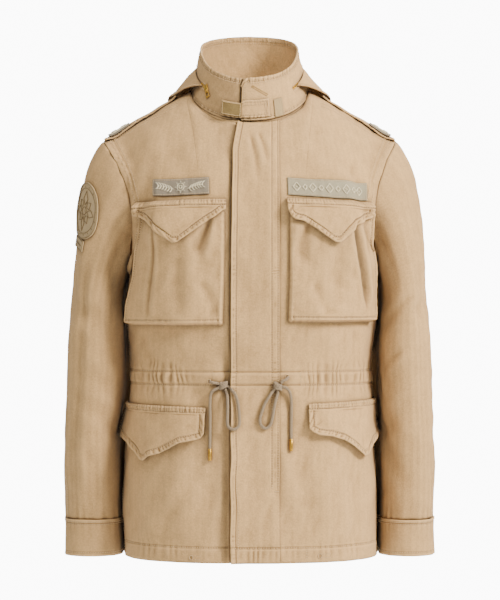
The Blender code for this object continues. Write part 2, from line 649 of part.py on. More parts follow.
def make_tapes():
    for word, side in SIDES:
        tape = TAPES[word]
        wall(word + "_chest_tape", "tape", [-1.0, -0.5, 0.0], steps(0.0, 1.0, 6),
             lambda down, share, lift, side=side, tape=tape: place(
                 side, tape.across + share * tape.width, tape.top + tape.drop * share + tape.height * down,
                 OVER + TAPE_CLOTH + lift), TAPE_CLOTH)


STRAP_CLOTH, STRAP_INNER_X, STRAP_OUTER_X = 0.0022, 0.114, 0.2315
STRAP_HALF_INNER, STRAP_HALF_OUTER = 0.019, 0.025
STRAP_PATCH_X, STRAP_PATCH_HALF = (0.190, 0.224), 0.017


def make_shoulder_straps():
    """A strap along each shoulder seam and the flat patch on its outer end."""
    for word, side in SIDES:
        def strap(share, x, lift, side=side):
            out = (x - STRAP_INNER_X) / (STRAP_OUTER_X - STRAP_INNER_X)
            half = mix(STRAP_HALF_INNER, STRAP_HALF_OUTER, out)
            return shoulder(side, x, share * half, GAP + STRAP_CLOTH + lift)

        def patch(share, x, lift, side=side):
            return shoulder(side, x, share * STRAP_PATCH_HALF, 2 * GAP + STRAP_CLOTH + TAPE_CLOTH + lift)

        wall(word + "_epaulette", "twill", [-1.0, -0.5, 0.0, 0.5, 1.0],
             steps(STRAP_INNER_X, STRAP_OUTER_X, 7), strap, STRAP_CLOTH)
        wall(word + "_strap_patch", "tape", [-1.0, -0.5, 0.0, 0.5, 1.0],
             steps(*STRAP_PATCH_X, 2), patch, TAPE_CLOTH)


BADGE_ANGLE, BADGE_Z, BADGE_RADIUS = math.radians(32), -0.186, 0.0400
BAR_DROP, BAR_WIDTH, BAR_HEIGHT = 0.051, 0.034, 0.016
BADGE_SIDE = -1                         # the wearer's right sleeve
BADGE_STEP = 0.01                       # step in angle or t that turns lengths into places


def on_sleeve(right, up, lift):
    """A point of the badge's place on the sleeve, measured from the badge's middle."""
    t = badge_row(BADGE_Z)
    for _ in range(3):
        here = sleeve_base(BADGE_SIDE, BADGE_ANGLE, t)
        slope = (sleeve_base(BADGE_SIDE, BADGE_ANGLE, t + BADGE_STEP) - here).length / BADGE_STEP
        t += (up_length(t) - up) / slope
    here = sleeve_base(BADGE_SIDE, BADGE_ANGLE, t)
    round_way = (sleeve_base(BADGE_SIDE, BADGE_ANGLE + BADGE_STEP, t) - here).length
    return sleeve(BADGE_SIDE, BADGE_ANGLE + right * BADGE_STEP / round_way, t, lift)


@functools.lru_cache(maxsize=None)
def badge_row(z):
    low, high = 0.0, 1.2
    for _ in range(40):
        middle = (low + high) / 2
        if sleeve_base(BADGE_SIDE, BADGE_ANGLE, middle).z > z:
            low = middle
        else:
            high = middle
    return low


def up_length(t):
    """How far above the badge's middle the row t lies, along the sleeve."""
    middle = badge_row(BADGE_Z)
    a, b = sleeve_base(BADGE_SIDE, BADGE_ANGLE, t), sleeve_base(BADGE_SIDE, BADGE_ANGLE, middle)
    return math.copysign((a - b).length, middle - t)


def make_sleeve_badge():
    """A round patch built as rings, and a small bar below it."""
    def disc(share, angle, lift):
        reach = max(share, 0.02) * BADGE_RADIUS
        return on_sleeve(reach * math.cos(angle), reach * math.sin(angle), GAP + TAPE_CLOTH + lift)

    bm = bmesh.new()
    turns, rings = 20, (1.0, 0.66, 0.33)
    sides = []
    for out in (0.0, -TAPE_CLOTH):
        loops = [[bm.verts.new(disc(r, 2 * math.pi * k / turns, out)) for k in range(turns)] for r in rings]
        hub = bm.verts.new(on_sleeve(0.0, 0.0, GAP + TAPE_CLOTH + out))
        for big, small in zip(loops, loops[1:]):
            for k in range(turns):
                bm.faces.new((big[k], big[k - 1], small[k - 1], small[k]))
        for k in range(turns):
            bm.faces.new((loops[-1][k], loops[-1][k - 1], hub))
        sides.append(loops[0])
    for k in range(turns):
        bm.faces.new((sides[0][k], sides[0][k - 1], sides[1][k - 1], sides[1][k]))
    finish("sleeve_patch", to_mesh("sleeve_patch", bm), "tape")
    wall("sleeve_patch_bar", "tape", [-0.5, 0.5], steps(-0.5, 0.5, 4),
         lambda up, right, lift: on_sleeve(right * BAR_WIDTH, up * BAR_HEIGHT - BAR_DROP,
                                           GAP + TAPE_CLOTH + lift), TAPE_CLOTH)


# --- Waist drawcord: on each side a stub from its eyelet, a knot, a loop and a tail with a metal end -----
CORD = 0.0042                           # diameter
KNOT_GAP = 0.0004                       # between a cord's end and its knot
Knot = namedtuple("Knot", "x z lift half_width half_height half_depth")
KNOTS = {"right_cord_knot": Knot(-0.0395, -0.4570, 0.0062, 0.0070, 0.0066, 0.0052),
         "left_cord_knot": Knot(0.0430, -0.4590, 0.0080, 0.0070, 0.0066, 0.0052)}
Route = namedtuple("Route", "x z lift")
# Each cord's middle line, as seen from the front with its height off the cloth. The degrees say from what
# side of its knot the cord starts or ends, 0 being the viewer's right and 90 the top.
CORDS = {
    "right_cord_stub": (None, 165, [Route(-0.0600, -0.4518, 0.0010), Route(-0.0585, -0.4522, 0.0046),
                                    Route(-0.0540, -0.4534, 0.0060)]),
    "right_cord_tail": (208, None, [Route(-0.0552, -0.4658, 0.0056), Route(-0.0588, -0.4720, 0.0048),
                                    Route(-0.0602, -0.4850, 0.0042), Route(-0.0600, -0.5050, 0.0042),
                                    Route(-0.0598, -0.5300, 0.0042), Route(-0.0600, -0.5540, 0.0042)]),
    "right_cord_loop": (-68, -20, [Route(-0.0335, -0.4740, 0.0080), Route(-0.0325, -0.4900, 0.0076),
                                   Route(-0.0325, -0.5050, 0.0072), Route(-0.0312, -0.5180, 0.0070),
                                   Route(-0.0262, -0.5255, 0.0070), Route(-0.0195, -0.5235, 0.0070),
                                   Route(-0.0158, -0.5150, 0.0070), Route(-0.0155, -0.5020, 0.0072),
                                   Route(-0.0175, -0.4850, 0.0076), Route(-0.0215, -0.4710, 0.0082)]),
    "left_cord_stub": (None, 48, [Route(0.0590, -0.4450, 0.0016), Route(0.0580, -0.4458, 0.0048),
                                  Route(0.0545, -0.4484, 0.0070)]),
    "left_cord_tail": (-8, None, [Route(0.0572, -0.4628, 0.0078), Route(0.0612, -0.4690, 0.0066),
                                  Route(0.0632, -0.4780, 0.0054), Route(0.0640, -0.4900, 0.0044),
                                  Route(0.0640, -0.5080, 0.0042), Route(0.0638, -0.5250, 0.0042),
                                  Route(0.0640, -0.5392, 0.0042)]),
    "left_cord_loop": (224, 268, [Route(0.0300, -0.4745, 0.0084), Route(0.0235, -0.4860, 0.0078),
                                  Route(0.0190, -0.4980, 0.0072), Route(0.0158, -0.5090, 0.0070),
                                  Route(0.0175, -0.5185, 0.0070), Route(0.0240, -0.5235, 0.0070),
                                  Route(0.0305, -0.5195, 0.0070), Route(0.0340, -0.5100, 0.0070),
                                  Route(0.0366, -0.4960, 0.0074), Route(0.0394, -0.4820, 0.0080)]),
}
CordEnd = namedtuple("CordEnd", "x z length")
CORD_ENDS = {"right_cord_end": CordEnd(-0.0600, -0.5545, 0.0185),
             "left_cord_end": CordEnd(0.0640, -0.5397, 0.0185)}
CORD_END_RADIUS, CORD_END_LIFT, CORD_END_TAPER = 0.0024, 0.0042, 0.92


def at_knot(knot, degrees, reach):
    """A point beside the knot, a little way off its skin."""
    across, up = math.cos(math.radians(degrees)), math.sin(math.radians(degrees))
    skin = 1 / math.hypot(across / knot.half_width, up / knot.half_height)
    middle = on_front(knot.x, knot.z, knot.lift)
    return middle + Vector((across, 0.0, up)) * (skin + reach)


def curve_through(points, spacing):
    """Points a spacing apart on a smooth curve through the given ones."""
    ends = [points[0] * 2 - points[1]] + points + [points[-1] * 2 - points[-2]]
    fine = []
    for a, b, c, d in zip(ends, ends[1:], ends[2:], ends[3:]):
        for k in range(12):
            t = k / 12
            fine.append(0.5 * (2 * b + (c - a) * t + (2 * a - 5 * b + 4 * c - d) * t * t
                               + (3 * b - a - 3 * c + d) * t ** 3))
    fine.append(points[-1])
    total = sum((q - p).length for p, q in zip(fine, fine[1:]))
    count = max(3, round(total / spacing))
    kept, run, target = [fine[0]], 0.0, total / count
    for p, q in zip(fine, fine[1:]):
        run += (q - p).length
        if run >= target * len(kept) - 1e-9 and len(kept) < count:
            kept.append(q)
    return kept + [fine[-1]]


def make_cords():
    for name, (start, end, route) in CORDS.items():
        knot = KNOTS[name[:name.index("_")] + "_cord_knot"]
        points = [on_front(r.x, r.z, r.lift) for r in route]
        if start is not None:
            points = [at_knot(knot, start, reach) for reach in (KNOT_GAP, CORD)] + points
        if end is not None:
            points += [at_knot(knot, end, reach) for reach in (CORD, KNOT_GAP)]
        curve = bpy.data.curves.new(name, "CURVE")
        curve.dimensions = "3D"
        curve.bevel_depth = CORD / 2
        curve.bevel_resolution = 2
        curve.use_fill_caps = True
        kept = curve_through(points, 1.6 * CORD)
        spline = curve.splines.new("POLY")
        spline.points.add(len(kept) - 1)
        for point, spot in zip(spline.points, kept):
            point.co = (*spot, 1.0)
        finish(name, curve, "cord")
    for name, knot in KNOTS.items():
        bm = bmesh.new()
        bmesh.ops.create_uvsphere(bm, u_segments=12, v_segments=8, radius=1.0)
        bmesh.ops.scale(bm, vec=(knot.half_width, knot.half_depth, knot.half_height), verts=bm.verts[:])
        bmesh.ops.translate(bm, vec=on_front(knot.x, knot.z, knot.lift), verts=bm.verts[:])
        finish(name, to_mesh(name, bm), "cord")
    for name, end in CORD_ENDS.items():
        bm = bmesh.new()
        bmesh.ops.create_cone(bm, cap_ends=True, segments=12, radius1=CORD_END_RADIUS,
                              radius2=CORD_END_RADIUS * CORD_END_TAPER, depth=end.length)
        top = on_front(end.x, end.z, CORD_END_LIFT)
        foot = on_front(end.x, end.z - end.length, CORD_END_LIFT)
        lean = Vector((0, 0, 1)).rotation_difference(top - foot).to_matrix().to_4x4()
        bmesh.ops.transform(bm, matrix=Matrix.Translation((top + foot) / 2) @ lean, verts=bm.verts[:])
        finish(name, to_mesh(name, bm), "brass")


# --- Collar zip: the slider stays where it is, its pull tab swings on it ---------------------------------
SLIDER_ANGLE, SLIDER_H, SLIDER_LEAN = math.radians(309), 0.50, 0.55
SLIDER_WIDTH, SLIDER_LENGTH, SLIDER_HEIGHT = 0.0056, 0.0086, 0.0032
LUG_REACH, LUG_GAP, LUG_WIDTH = 0.0021, 0.0012, 0.0010
PULL_THICK, PULL_AXIS_HEIGHT = 0.0012, 0.0021
PULL_TONGUE, PULL_HALF, PULL_BAR = 0.0009, 0.0027, 0.0013
PULL_ROWS = (-0.0007, 0.0017, 0.0032, 0.0092, 0.0115)


def zip_frame(forward, height):
    """The slider's own frame, moved along it: X across, Y down the zip, Z off the collar."""
    normal = collar_normal(SLIDER_ANGLE, SLIDER_H)
    up = (collar_base(SLIDER_ANGLE, SLIDER_H + 0.1) - collar_base(SLIDER_ANGLE, SLIDER_H)).normalized()
    front = up.cross(normal).normalized()
    down = (-up + front * SLIDER_LEAN).normalized()
    across = down.cross(normal).normalized()
    origin = collar_base(SLIDER_ANGLE, SLIDER_H) + down * forward + normal * height
    frame = Matrix((across, down, normal)).transposed().to_4x4()
    frame.translation = origin
    return frame


def make_zip():
    bm = bmesh.new()
    half, lug0, lug1 = SLIDER_WIDTH / 2, LUG_GAP, LUG_GAP + LUG_WIDTH
    xs, ys = [-half, -lug1, -lug0, lug0, lug1, half], [-SLIDER_LENGTH / 2, SLIDER_LENGTH / 2,
                                                      SLIDER_LENGTH / 2 + LUG_REACH]
    plate(bm, xs, ys, {(k, 0) for k in range(5)} | {(1, 1), (3, 1)}, SLIDER_HEIGHT)
    slider = finish("zip_slider", to_mesh("zip_slider", bm), "brass")
    slider.matrix_world = zip_frame(0.0, GAP + SLIDER_HEIGHT)
    bm = bmesh.new()
    xs = [-PULL_HALF, -PULL_HALF + PULL_BAR, -PULL_TONGUE, PULL_TONGUE, PULL_HALF - PULL_BAR, PULL_HALF]
    cells = {(2, 0)} | {(k, 1) for k in range(5)} | {(0, 2), (4, 2)} | {(k, 3) for k in range(5)}
    plate(bm, xs, PULL_ROWS, cells, PULL_THICK)
    bmesh.ops.translate(bm, vec=(0, 0, PULL_THICK / 2), verts=bm.verts[:])
    pull = finish("zip_pull", to_mesh("zip_pull", bm), "brass")
    pull.matrix_world = zip_frame(SLIDER_LENGTH / 2 + LUG_REACH / 2, GAP + PULL_AXIS_HEIGHT)


def plate(bm, xs, ys, cells, thick):
    """A flat plate cut from a grid of lines, keeping the named cells; its top lies at Z 0."""
    bmesh.ops.create_grid(bm, x_segments=len(xs) - 1, y_segments=len(ys) - 1, size=1.0)
    extra = [face for face in bm.faces if (
        int((face.calc_center_median().x + 1) / 2 * (len(xs) - 1)),
        int((face.calc_center_median().y + 1) / 2 * (len(ys) - 1))) not in cells]
    for vert in bm.verts:
        vert.co = (xs[round((vert.co.x + 1) / 2 * (len(xs) - 1))],
                   ys[round((vert.co.y + 1) / 2 * (len(ys) - 1))], 0.0)
    bmesh.ops.delete(bm, geom=extra, context="FACES")
    low = bmesh.ops.extrude_face_region(bm, geom=bm.faces[:], use_keep_orig=True)
    bmesh.ops.translate(bm, vec=(0, 0, -thick),
                        verts=[v for v in low["geom"] if isinstance(v, bmesh.types.BMVert)])


def main():
    for old in list(bpy.data.objects):
        bpy.data.objects.remove(old)
    make_body()
    make_sleeves()
    make_collar()
    make_collar_trim()
    make_hood()
    make_placket()
    make_chest_pockets()
    make_flaps()
    make_tapes()
    make_shoulder_straps()
    make_sleeve_badge()
    make_cords()
    make_zip()


if __name__ == "__main__":
    main()
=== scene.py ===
"""A hip-length cotton field jacket, closed and filled out, dressed over its packed frame.

Metres, +Z up, the front faces -Y and +X is the wearer's left. Every piece of cloth is a thin shell on one
of five surfaces: the torso, the sleeve, the collar, the hood and the shoulder.
"""

import math
from collections import namedtuple
from functools import partial

import bmesh
import bpy
import numpy as np
from mathutils import Matrix, Vector


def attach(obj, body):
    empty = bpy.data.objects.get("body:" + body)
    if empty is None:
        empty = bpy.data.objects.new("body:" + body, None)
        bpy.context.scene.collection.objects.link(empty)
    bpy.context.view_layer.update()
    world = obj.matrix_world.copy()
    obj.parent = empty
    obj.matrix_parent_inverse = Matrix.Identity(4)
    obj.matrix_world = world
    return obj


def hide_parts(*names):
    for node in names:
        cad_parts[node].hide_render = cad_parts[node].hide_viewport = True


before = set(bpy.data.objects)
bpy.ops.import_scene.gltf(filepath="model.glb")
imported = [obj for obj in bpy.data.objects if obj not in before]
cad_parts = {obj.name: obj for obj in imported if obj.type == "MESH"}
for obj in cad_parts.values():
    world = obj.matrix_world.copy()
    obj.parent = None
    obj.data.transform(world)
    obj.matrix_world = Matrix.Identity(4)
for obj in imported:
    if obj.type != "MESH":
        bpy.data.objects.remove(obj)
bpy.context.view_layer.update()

bl_info = {
    "name": "Field jacket",
    "version": (1, 0, 0),
    "blender": (4, 5, 0),
    "location": "View3D > Sidebar > Field jacket",
    "description": "Sews a cotton field jacket piece by piece over its packed frame",
    "category": "Add Mesh",
}

# --- Cloth and seams -----------------------------------------------------------------------------------
GAP = 0.0004                            # between two pieces at a seam
OVER = 0.0011                           # under a piece that lies on a panel
CLOTH = 0.0018
STEP = 1e-4                             # a small change of a surface's measures, for its direction
WELD = 3e-5                             # points closer than this are joined
SEED = 7

# --- Heights and widths --------------------------------------------------------------------------------
HEM_Z, ARMPIT_Z = -0.730, -0.285
SHOULDER_X, SHOULDER_Z = 0.2335, -0.072
NECK_X, NECK_Z = 0.0936, 0.009          # where the shoulder seam meets the collar
NECK_FRONT, NECK_FRONT_Z = 0.105, -0.050
NECK_BACK, NECK_BACK_Z = 0.075, 0.015
RIM_X, RIM_Z = 0.078, 0.074             # collar's top edge at the side
RIM_FRONT, RIM_FRONT_Z = 0.088, 0.020
RIM_BACK, RIM_BACK_Z = 0.080, 0.105
ARMHOLE_FRONT, ARMHOLE_BACK = 0.088, 0.085
ARMHOLE_WAIST = 0.015
NECK_SHARE = 0.42                       # share of a panel's columns that end on the neck
CHEST_RISE, CHEST_ROUND, NECK_ROUND = 2.4, 1.7, 1.15

# Torso sections from hem to armpit: height, half width, sideways shift, front depth, back depth, squareness
TORSO = np.array([
    (-0.730, 0.2005, 0.0022, 0.152, 0.132, 2.5),
    (-0.640, 0.2010, 0.0014, 0.150, 0.132, 2.5),
    (-0.540, 0.1968, 0.0012, 0.144, 0.126, 2.5),
    (-0.447, 0.1912, 0.0028, 0.137, 0.118, 2.4),
    (-0.360, 0.1975, 0.0028, 0.146, 0.128, 2.4),
    (-0.285, 0.1980, 0.0055, 0.152, 0.135, 2.4),
])
# Sleeve sections from the hem to under the armpit: height, outer x, inner x, front, back, squareness, tuck.
# The tuck is how far a sleeve reaches in behind the side of the body.
SLEEVE = np.array([
    (-0.7300, 0.2945, 0.2060, 0.055, 0.043, 2.3, 0.017),
    (-0.6720, 0.2945, 0.2065, 0.056, 0.045, 2.3, 0.018),
    (-0.6200, 0.2950, 0.2070, 0.062, 0.052, 2.3, 0.020),
    (-0.5400, 0.2950, 0.2078, 0.071, 0.060, 2.3, 0.023),
    (-0.4600, 0.2930, 0.2010, 0.079, 0.070, 2.3, 0.028),
    (-0.4000, 0.2890, 0.2010, 0.083, 0.078, 2.3, 0.028),
    (-0.3300, 0.2835, 0.2060, 0.086, 0.084, 2.3, 0.024),
])
TUCK_ANGLE, TUCK_REACH = math.radians(232), math.radians(42)
CUFF_TOP, CUFF_BOTTOM = -0.6725, -0.7300
CAP_OUT, CAP_DOWN = 0.456, 0.380
CAP_END_OUT, CAP_END_DOWN = 0.076, 0.990
ARMHOLE_BLEND = 0.12                    # where the front's armhole edge turns into the back's
SIDES = (("right", -1), ("left", 1))


def smooth(value):
    """0 to 1 with a soft start and end."""
    value = np.clip(value, 0.0, 1.0)
    return value * value * (3 - 2 * value)


def mix(low, high, share):
    return low + (high - low) * share


def bell(distance, width):
    """1 on the line, fading out over a width."""
    return np.exp(-(np.asarray(distance) / width) ** 2)


def points(x, y, z):
    return np.stack(np.broadcast_arrays(x, y, z), axis=-1).astype(float)


def unit(vectors):
    return vectors / np.maximum(np.linalg.norm(vectors, axis=-1, keepdims=True), 1e-12)


def out_by(vectors, amount):
    return vectors * np.asarray(amount)[..., None]


def arrays(*values):
    """The values as float arrays of one shape."""
    return np.broadcast_arrays(*(np.asarray(value, float) for value in values))


def steps(low, high, count):
    return np.linspace(low, high, count + 1)


def run_length(grid, axis=0):
    """The length along a path or a grid of points from its first row or column."""
    lengths = np.linalg.norm(np.diff(grid, axis=axis), axis=-1)
    first = np.zeros_like(lengths.take([0], axis=axis))
    return np.cumsum(np.concatenate([first, lengths], axis=axis), axis=axis)


def at_lengths(at, length, values):
    """Rows of values read at lengths along their path."""
    return np.stack([np.interp(at, length, column) for column in values.T], axis=-1)


def read_table(table, at):
    """The table's columns at a place on its first one, on a smooth curve through its rows."""
    keys = table[:, 0]
    slopes = np.gradient(table, axis=0)
    slopes[1:-1] = (table[2:] - table[:-2]) / (keys[2:] - keys[:-2])[:, None]
    slopes[0] = (table[1] - table[0]) / (keys[1] - keys[0])
    slopes[-1] = (table[-1] - table[-2]) / (keys[-1] - keys[-2])
    at = np.asarray(at, dtype=float)
    k = np.clip(np.searchsorted(keys, at, side="left") - 1, 0, len(keys) - 2)
    span = (keys[k + 1] - keys[k])[..., None]
    t = np.clip((at - keys[k])[..., None] / span, 0.0, 1.0)
    return (table[k] * (1 + 2 * t) * (1 - t) ** 2 + slopes[k] * span * t * (1 - t) ** 2
            + table[k + 1] * t * t * (3 - 2 * t) - slopes[k + 1] * span * t * t * (1 - t))


def line_share(px, pz, x0, z0, x1, z1):
    """(signed distance from the line, place along it from 0 to 1, how fully a point lies beside it)."""
    dx, dz = x1 - x0, z1 - z0
    length = math.hypot(dx, dz)
    place = ((px - x0) * dx + (pz - z0) * dz) / length ** 2
    away = ((px - x0) * dz - (pz - z0) * dx) / length
    return away, place, smooth((place + 0.18) / 0.36) * smooth((1.18 - place) / 0.36)


def ripple(along, length, seed):
    """A wave of uneven length and height along a seam, from -1 to 1."""
    k = 2 * math.pi / length
    a = np.sin(k * along + 1.7 * seed + 1.4 * np.sin(k * along * 0.23 + seed))
    b = np.sin(k * 0.61 * along + 2.9 * seed + 1.1 * np.sin(k * along * 0.17 + 2 * seed))
    return (0.65 * a + 0.35 * b) * (0.75 + 0.25 * np.sin(k * 0.11 * along + seed * 3.1))


def rumple(place, size, seed):
    """Uneven soft cloth over a (..., 3) place: a sum of waves of about one size, from about -1 to 1."""
    draw = np.random.default_rng(SEED * 100 + seed)
    total = np.zeros(place.shape[:-1])
    bend = np.sin(place[..., 2] / size * 1.3 + seed) * 0.8
    for _ in range(7):
        way = draw.normal(size=3) * (1.0, 0.8, 0.75)
        way *= 2 * math.pi / size * draw.uniform(0.55, 1.2) / np.linalg.norm(way)
        total += np.sin(place @ way + draw.uniform(0, 6.28) + bend)
    return total / 3.4


# --- The torso: face 1 is the front and -1 the back, side 1 the wearer's left and -1 the right. ----------
def top_edge(face, u):
    """(x, y, z) of the neck and shoulder seam, as distances from the middle."""
    turn = np.clip(u / NECK_SHARE, 0, 1) * math.pi / 2
    reach, low = (NECK_FRONT, NECK_FRONT_Z) if face > 0 else (NECK_BACK, NECK_BACK_Z)
    share = np.clip((u - NECK_SHARE) / (1 - NECK_SHARE), 0, 1)
    on_neck = u <= NECK_SHARE
    x = np.where(on_neck, NECK_X * np.sin(turn), mix(NECK_X, SHOULDER_X, share))
    y = np.where(on_neck, np.maximum(GAP / 2, reach * np.cos(turn)), GAP / 2)
    z = np.where(on_neck, NECK_Z + (low - NECK_Z) * np.cos(turn), mix(NECK_Z, SHOULDER_Z, share))
    return x, y, z


def torso_form(face, side, u, t):
    """u runs from the middle (0) to the side seam or armhole (1), t from the hem (0) by the armpit (1) to
    the neck and shoulder seam (2)."""
    u, t = arrays(u, t)
    turn = u * math.pi / 2
    sine, cosine = np.sin(turn), np.abs(np.cos(turn))
    low_z = mix(HEM_Z, ARMPIT_Z, np.minimum(t, 1))
    s = read_table(TORSO, low_z)
    depth = s[..., 3] if face > 0 else s[..., 4]
    low = points(s[..., 2] + side * s[..., 1] * sine ** (2 / s[..., 5]),
                 -face * depth * cosine ** (2 / s[..., 5]), low_z)
    v = np.clip(t - 1, 0, 1)
    _, half, centre, front, back, power = TORSO[-1]
    depth = front if face > 0 else back
    edge = ARMHOLE_FRONT if face > 0 else ARMHOLE_BACK
    top_x, top_y, top_z = top_edge(face, u)
    share = smooth(v / 0.4)
    across = mix(sine ** (2 / power), top_x / SHOULDER_X, share)
    past_neck = np.clip((u - NECK_SHARE) / (1 - NECK_SHARE), 0, 1)
    fullness = mix(cosine ** (2 / power), 1 - past_neck ** 3, share)
    seam = half + (SHOULDER_X - half) * v ** 2.5 - ARMHOLE_WAIST * np.sin(math.pi * v)
    round_off = mix(NECK_ROUND, CHEST_ROUND, smooth(u / NECK_SHARE))
    rise = np.maximum(0.0, 1 - v ** CHEST_RISE) ** (1 / round_off)
    middle = top_y + (depth - top_y) * rise
    scoop = (4 * v * (1 - v)) ** mix(0.5, 1.0, smooth((1 - u) / 0.12))
    forward = (1 - fullness) * edge * scoop + fullness * middle
    high = points(centre * (1 - v ** 3) + side * seam * across, -face * np.maximum(forward, GAP / 2),
                  mix(ARMPIT_Z, top_z, v))
    return np.where((t <= 1)[..., None], low, high)


EASE_Z, EASE_U = 0.032, 0.070
STOPS = np.linspace(0, 1, 241)


def slope_jumps(face, side):
    """How sharply the form turns at armpit height, by u, and below the end of the neck, by t."""
    rise, wide = 0.0004, 0.002
    top = top_edge(face, STOPS)[2]
    level_row = [torso_form(face, side, STOPS, 1 + step) for step in
                 (-rise / (ARMPIT_Z - HEM_Z), 0.0, rise / (top - ARMPIT_Z))]
    upright = [torso_form(face, side, NECK_SHARE + step + 0 * STOPS, 1 + STOPS) for step in (-wide, 0.0, wide)]
    return [(row[0] + row[2] - 2 * row[1]) / step for row, step in ((level_row, rise), (upright, wide))]


def torso_base(face, side, u, t):
    """The torso's form with its turns at armpit height and below the ends of the neck eased."""
    u, t, side = arrays(u, t, side)
    p = torso_form(face, side, u, t)
    z = np.where(t <= 1, mix(HEM_Z, ARMPIT_Z, t), mix(ARMPIT_Z, top_edge(face, u)[2], t - 1))
    for kind, away, soft, reach, at, share in (
            (0, z - ARMPIT_Z, EASE_Z, 0.090, u, smooth((1 - u) / 0.16)),
            (1, u - NECK_SHARE, EASE_U, 0.170, t - 1, smooth((t - 1) / 0.10) * smooth((2 - t) / 0.05))):
        size = 0.5 * (np.hypot(away, soft) - np.abs(away)) * bell(away, reach) * share
        jump = [np.where(side > 0, *(np.interp(at, STOPS, JUMPS[face, way][kind][:, k]) for way in (1, -1)))
                for k in range(3)]
        p = p + out_by(np.stack(jump, axis=-1), size)
    return p


def torso_normal(face, side, u, t):
    u, t = arrays(u, t)
    u0, u1 = np.maximum(u - STEP, STEP), np.minimum(np.maximum(u, STEP) + STEP, 1.0)
    t0, t1 = np.maximum(t - STEP, 0.0), np.minimum(t + STEP, 2.0)
    inside = np.clip(u, STEP, 1 - STEP)
    across = torso_base(face, side, u1, t) - torso_base(face, side, u0, t)
    up = torso_base(face, side, inside, t1) - torso_base(face, side, inside, t0)
    return unit(np.cross(across, up)) * (np.asarray(side) * face * np.ones(u.shape))[..., None]


def level(z):
    """t of a height below the armpit."""
    return (z - HEM_Z) / (ARMPIT_Z - HEM_Z)


def t_at(face, u, z):
    top = top_edge(face, u)[2]
    return np.where(z <= ARMPIT_Z, level(z), 1 + np.minimum(1.0, (z - ARMPIT_Z) / (top - ARMPIT_Z)))


JUMPS = {(face, side): slope_jumps(face, side) for face in (1, -1) for side in (1, -1)}
TAPE_Z = np.arange(-0.734, -0.059, 0.004)
TAPE_STEP, TAPE_END = 0.003, 0.54       # metres
TAPE_PARTS = 96                         # stops on the front, and as many on the back
TAPE_STOPS = np.concatenate([steps(0, 1, TAPE_PARTS), steps(0, 1, TAPE_PARTS)[1:] + 1])


def measure_round(side):
    """For each height, the stop round the torso at every taped length from the middle of the front."""
    z = TAPE_Z[:, None]
    run = np.concatenate([torso_base(face, side, u, t_at(face, u, z)) for face, u in (
        (1, TAPE_STOPS[:TAPE_PARTS + 1]), (-1, 2 - TAPE_STOPS[TAPE_PARTS + 1:]))], axis=1)
    return np.array([np.interp(np.arange(0, TAPE_END, TAPE_STEP), row, TAPE_STOPS) for row in run_length(run, 1)])


TAPED = {1: measure_round(1), -1: measure_round(-1)}


def stop_at(across, z):
    """The stop round the torso (0 front middle, 1 side, 2 back middle) at a taped length and a height."""
    row = np.clip((z - TAPE_Z[0]) / (TAPE_Z[1] - TAPE_Z[0]), 0, len(TAPE_Z) - 1.001)
    column = np.clip(np.abs(across) / TAPE_STEP, 0, TAPED[1].shape[1] - 1.001)
    r, c = row.astype(int), column.astype(int)
    fr, fc = row - r, column - c
    stops = {s: (TAPED[s][r, c] * (1 - fr) * (1 - fc) + TAPED[s][r + 1, c] * fr * (1 - fc)
                 + TAPED[s][r, c + 1] * (1 - fr) * fc + TAPED[s][r + 1, c + 1] * fr * fc) for s in (1, -1)}
    return np.where(across < 0, stops[-1], stops[1])


# --- Folds and creases of the torso ------------------------------------------------------------------------
# The largest folds: height off the cloth above 0 for a ridge and below 0 for a trough
Fold = namedtuple("Fold", "face x0 z0 x1 z1 width height")
FLY_EDGE = np.array([(-0.730, -0.0283), (-0.300, -0.0283), (-0.180, -0.0268), (-0.096, -0.0253),
                     (-0.052, -0.0176)])
FLY_GROOVE = 0.0034                     # how deep the front dips along the fly's free edge
FOLDS = (
    Fold(1, -0.085, -0.545, -0.130, -0.635, 0.030, 0.0050),
    Fold(1, -0.092, -0.452, -0.070, -0.500, 0.022, -0.0030),
    Fold(1, 0.070, -0.495, 0.080, -0.630, 0.026, -0.0045),
    Fold(1, 0.125, -0.560, 0.110, -0.700, 0.028, 0.0035),
    Fold(1, -0.140, -0.375, -0.120, -0.430, 0.026, 0.0030),
    Fold(1, 0.120, -0.372, 0.135, -0.430, 0.026, 0.0030),
    Fold(1, 0.175, -0.215, 0.120, -0.160, 0.028, -0.0030),
    Fold(1, -0.172, -0.215, -0.120, -0.160, 0.028, -0.0030),
    Fold(-1, 0.175, -0.260, 0.085, -0.190, 0.034, -0.0050),
    Fold(-1, -0.175, -0.250, -0.095, -0.195, 0.034, -0.0045),
    Fold(-1, 0.060, -0.520, 0.080, -0.680, 0.034, -0.0045),
    Fold(-1, -0.100, -0.500, -0.085, -0.650, 0.036, 0.0040),
    Fold(-1, -0.020, -0.340, 0.030, -0.425, 0.034, 0.0035),
)
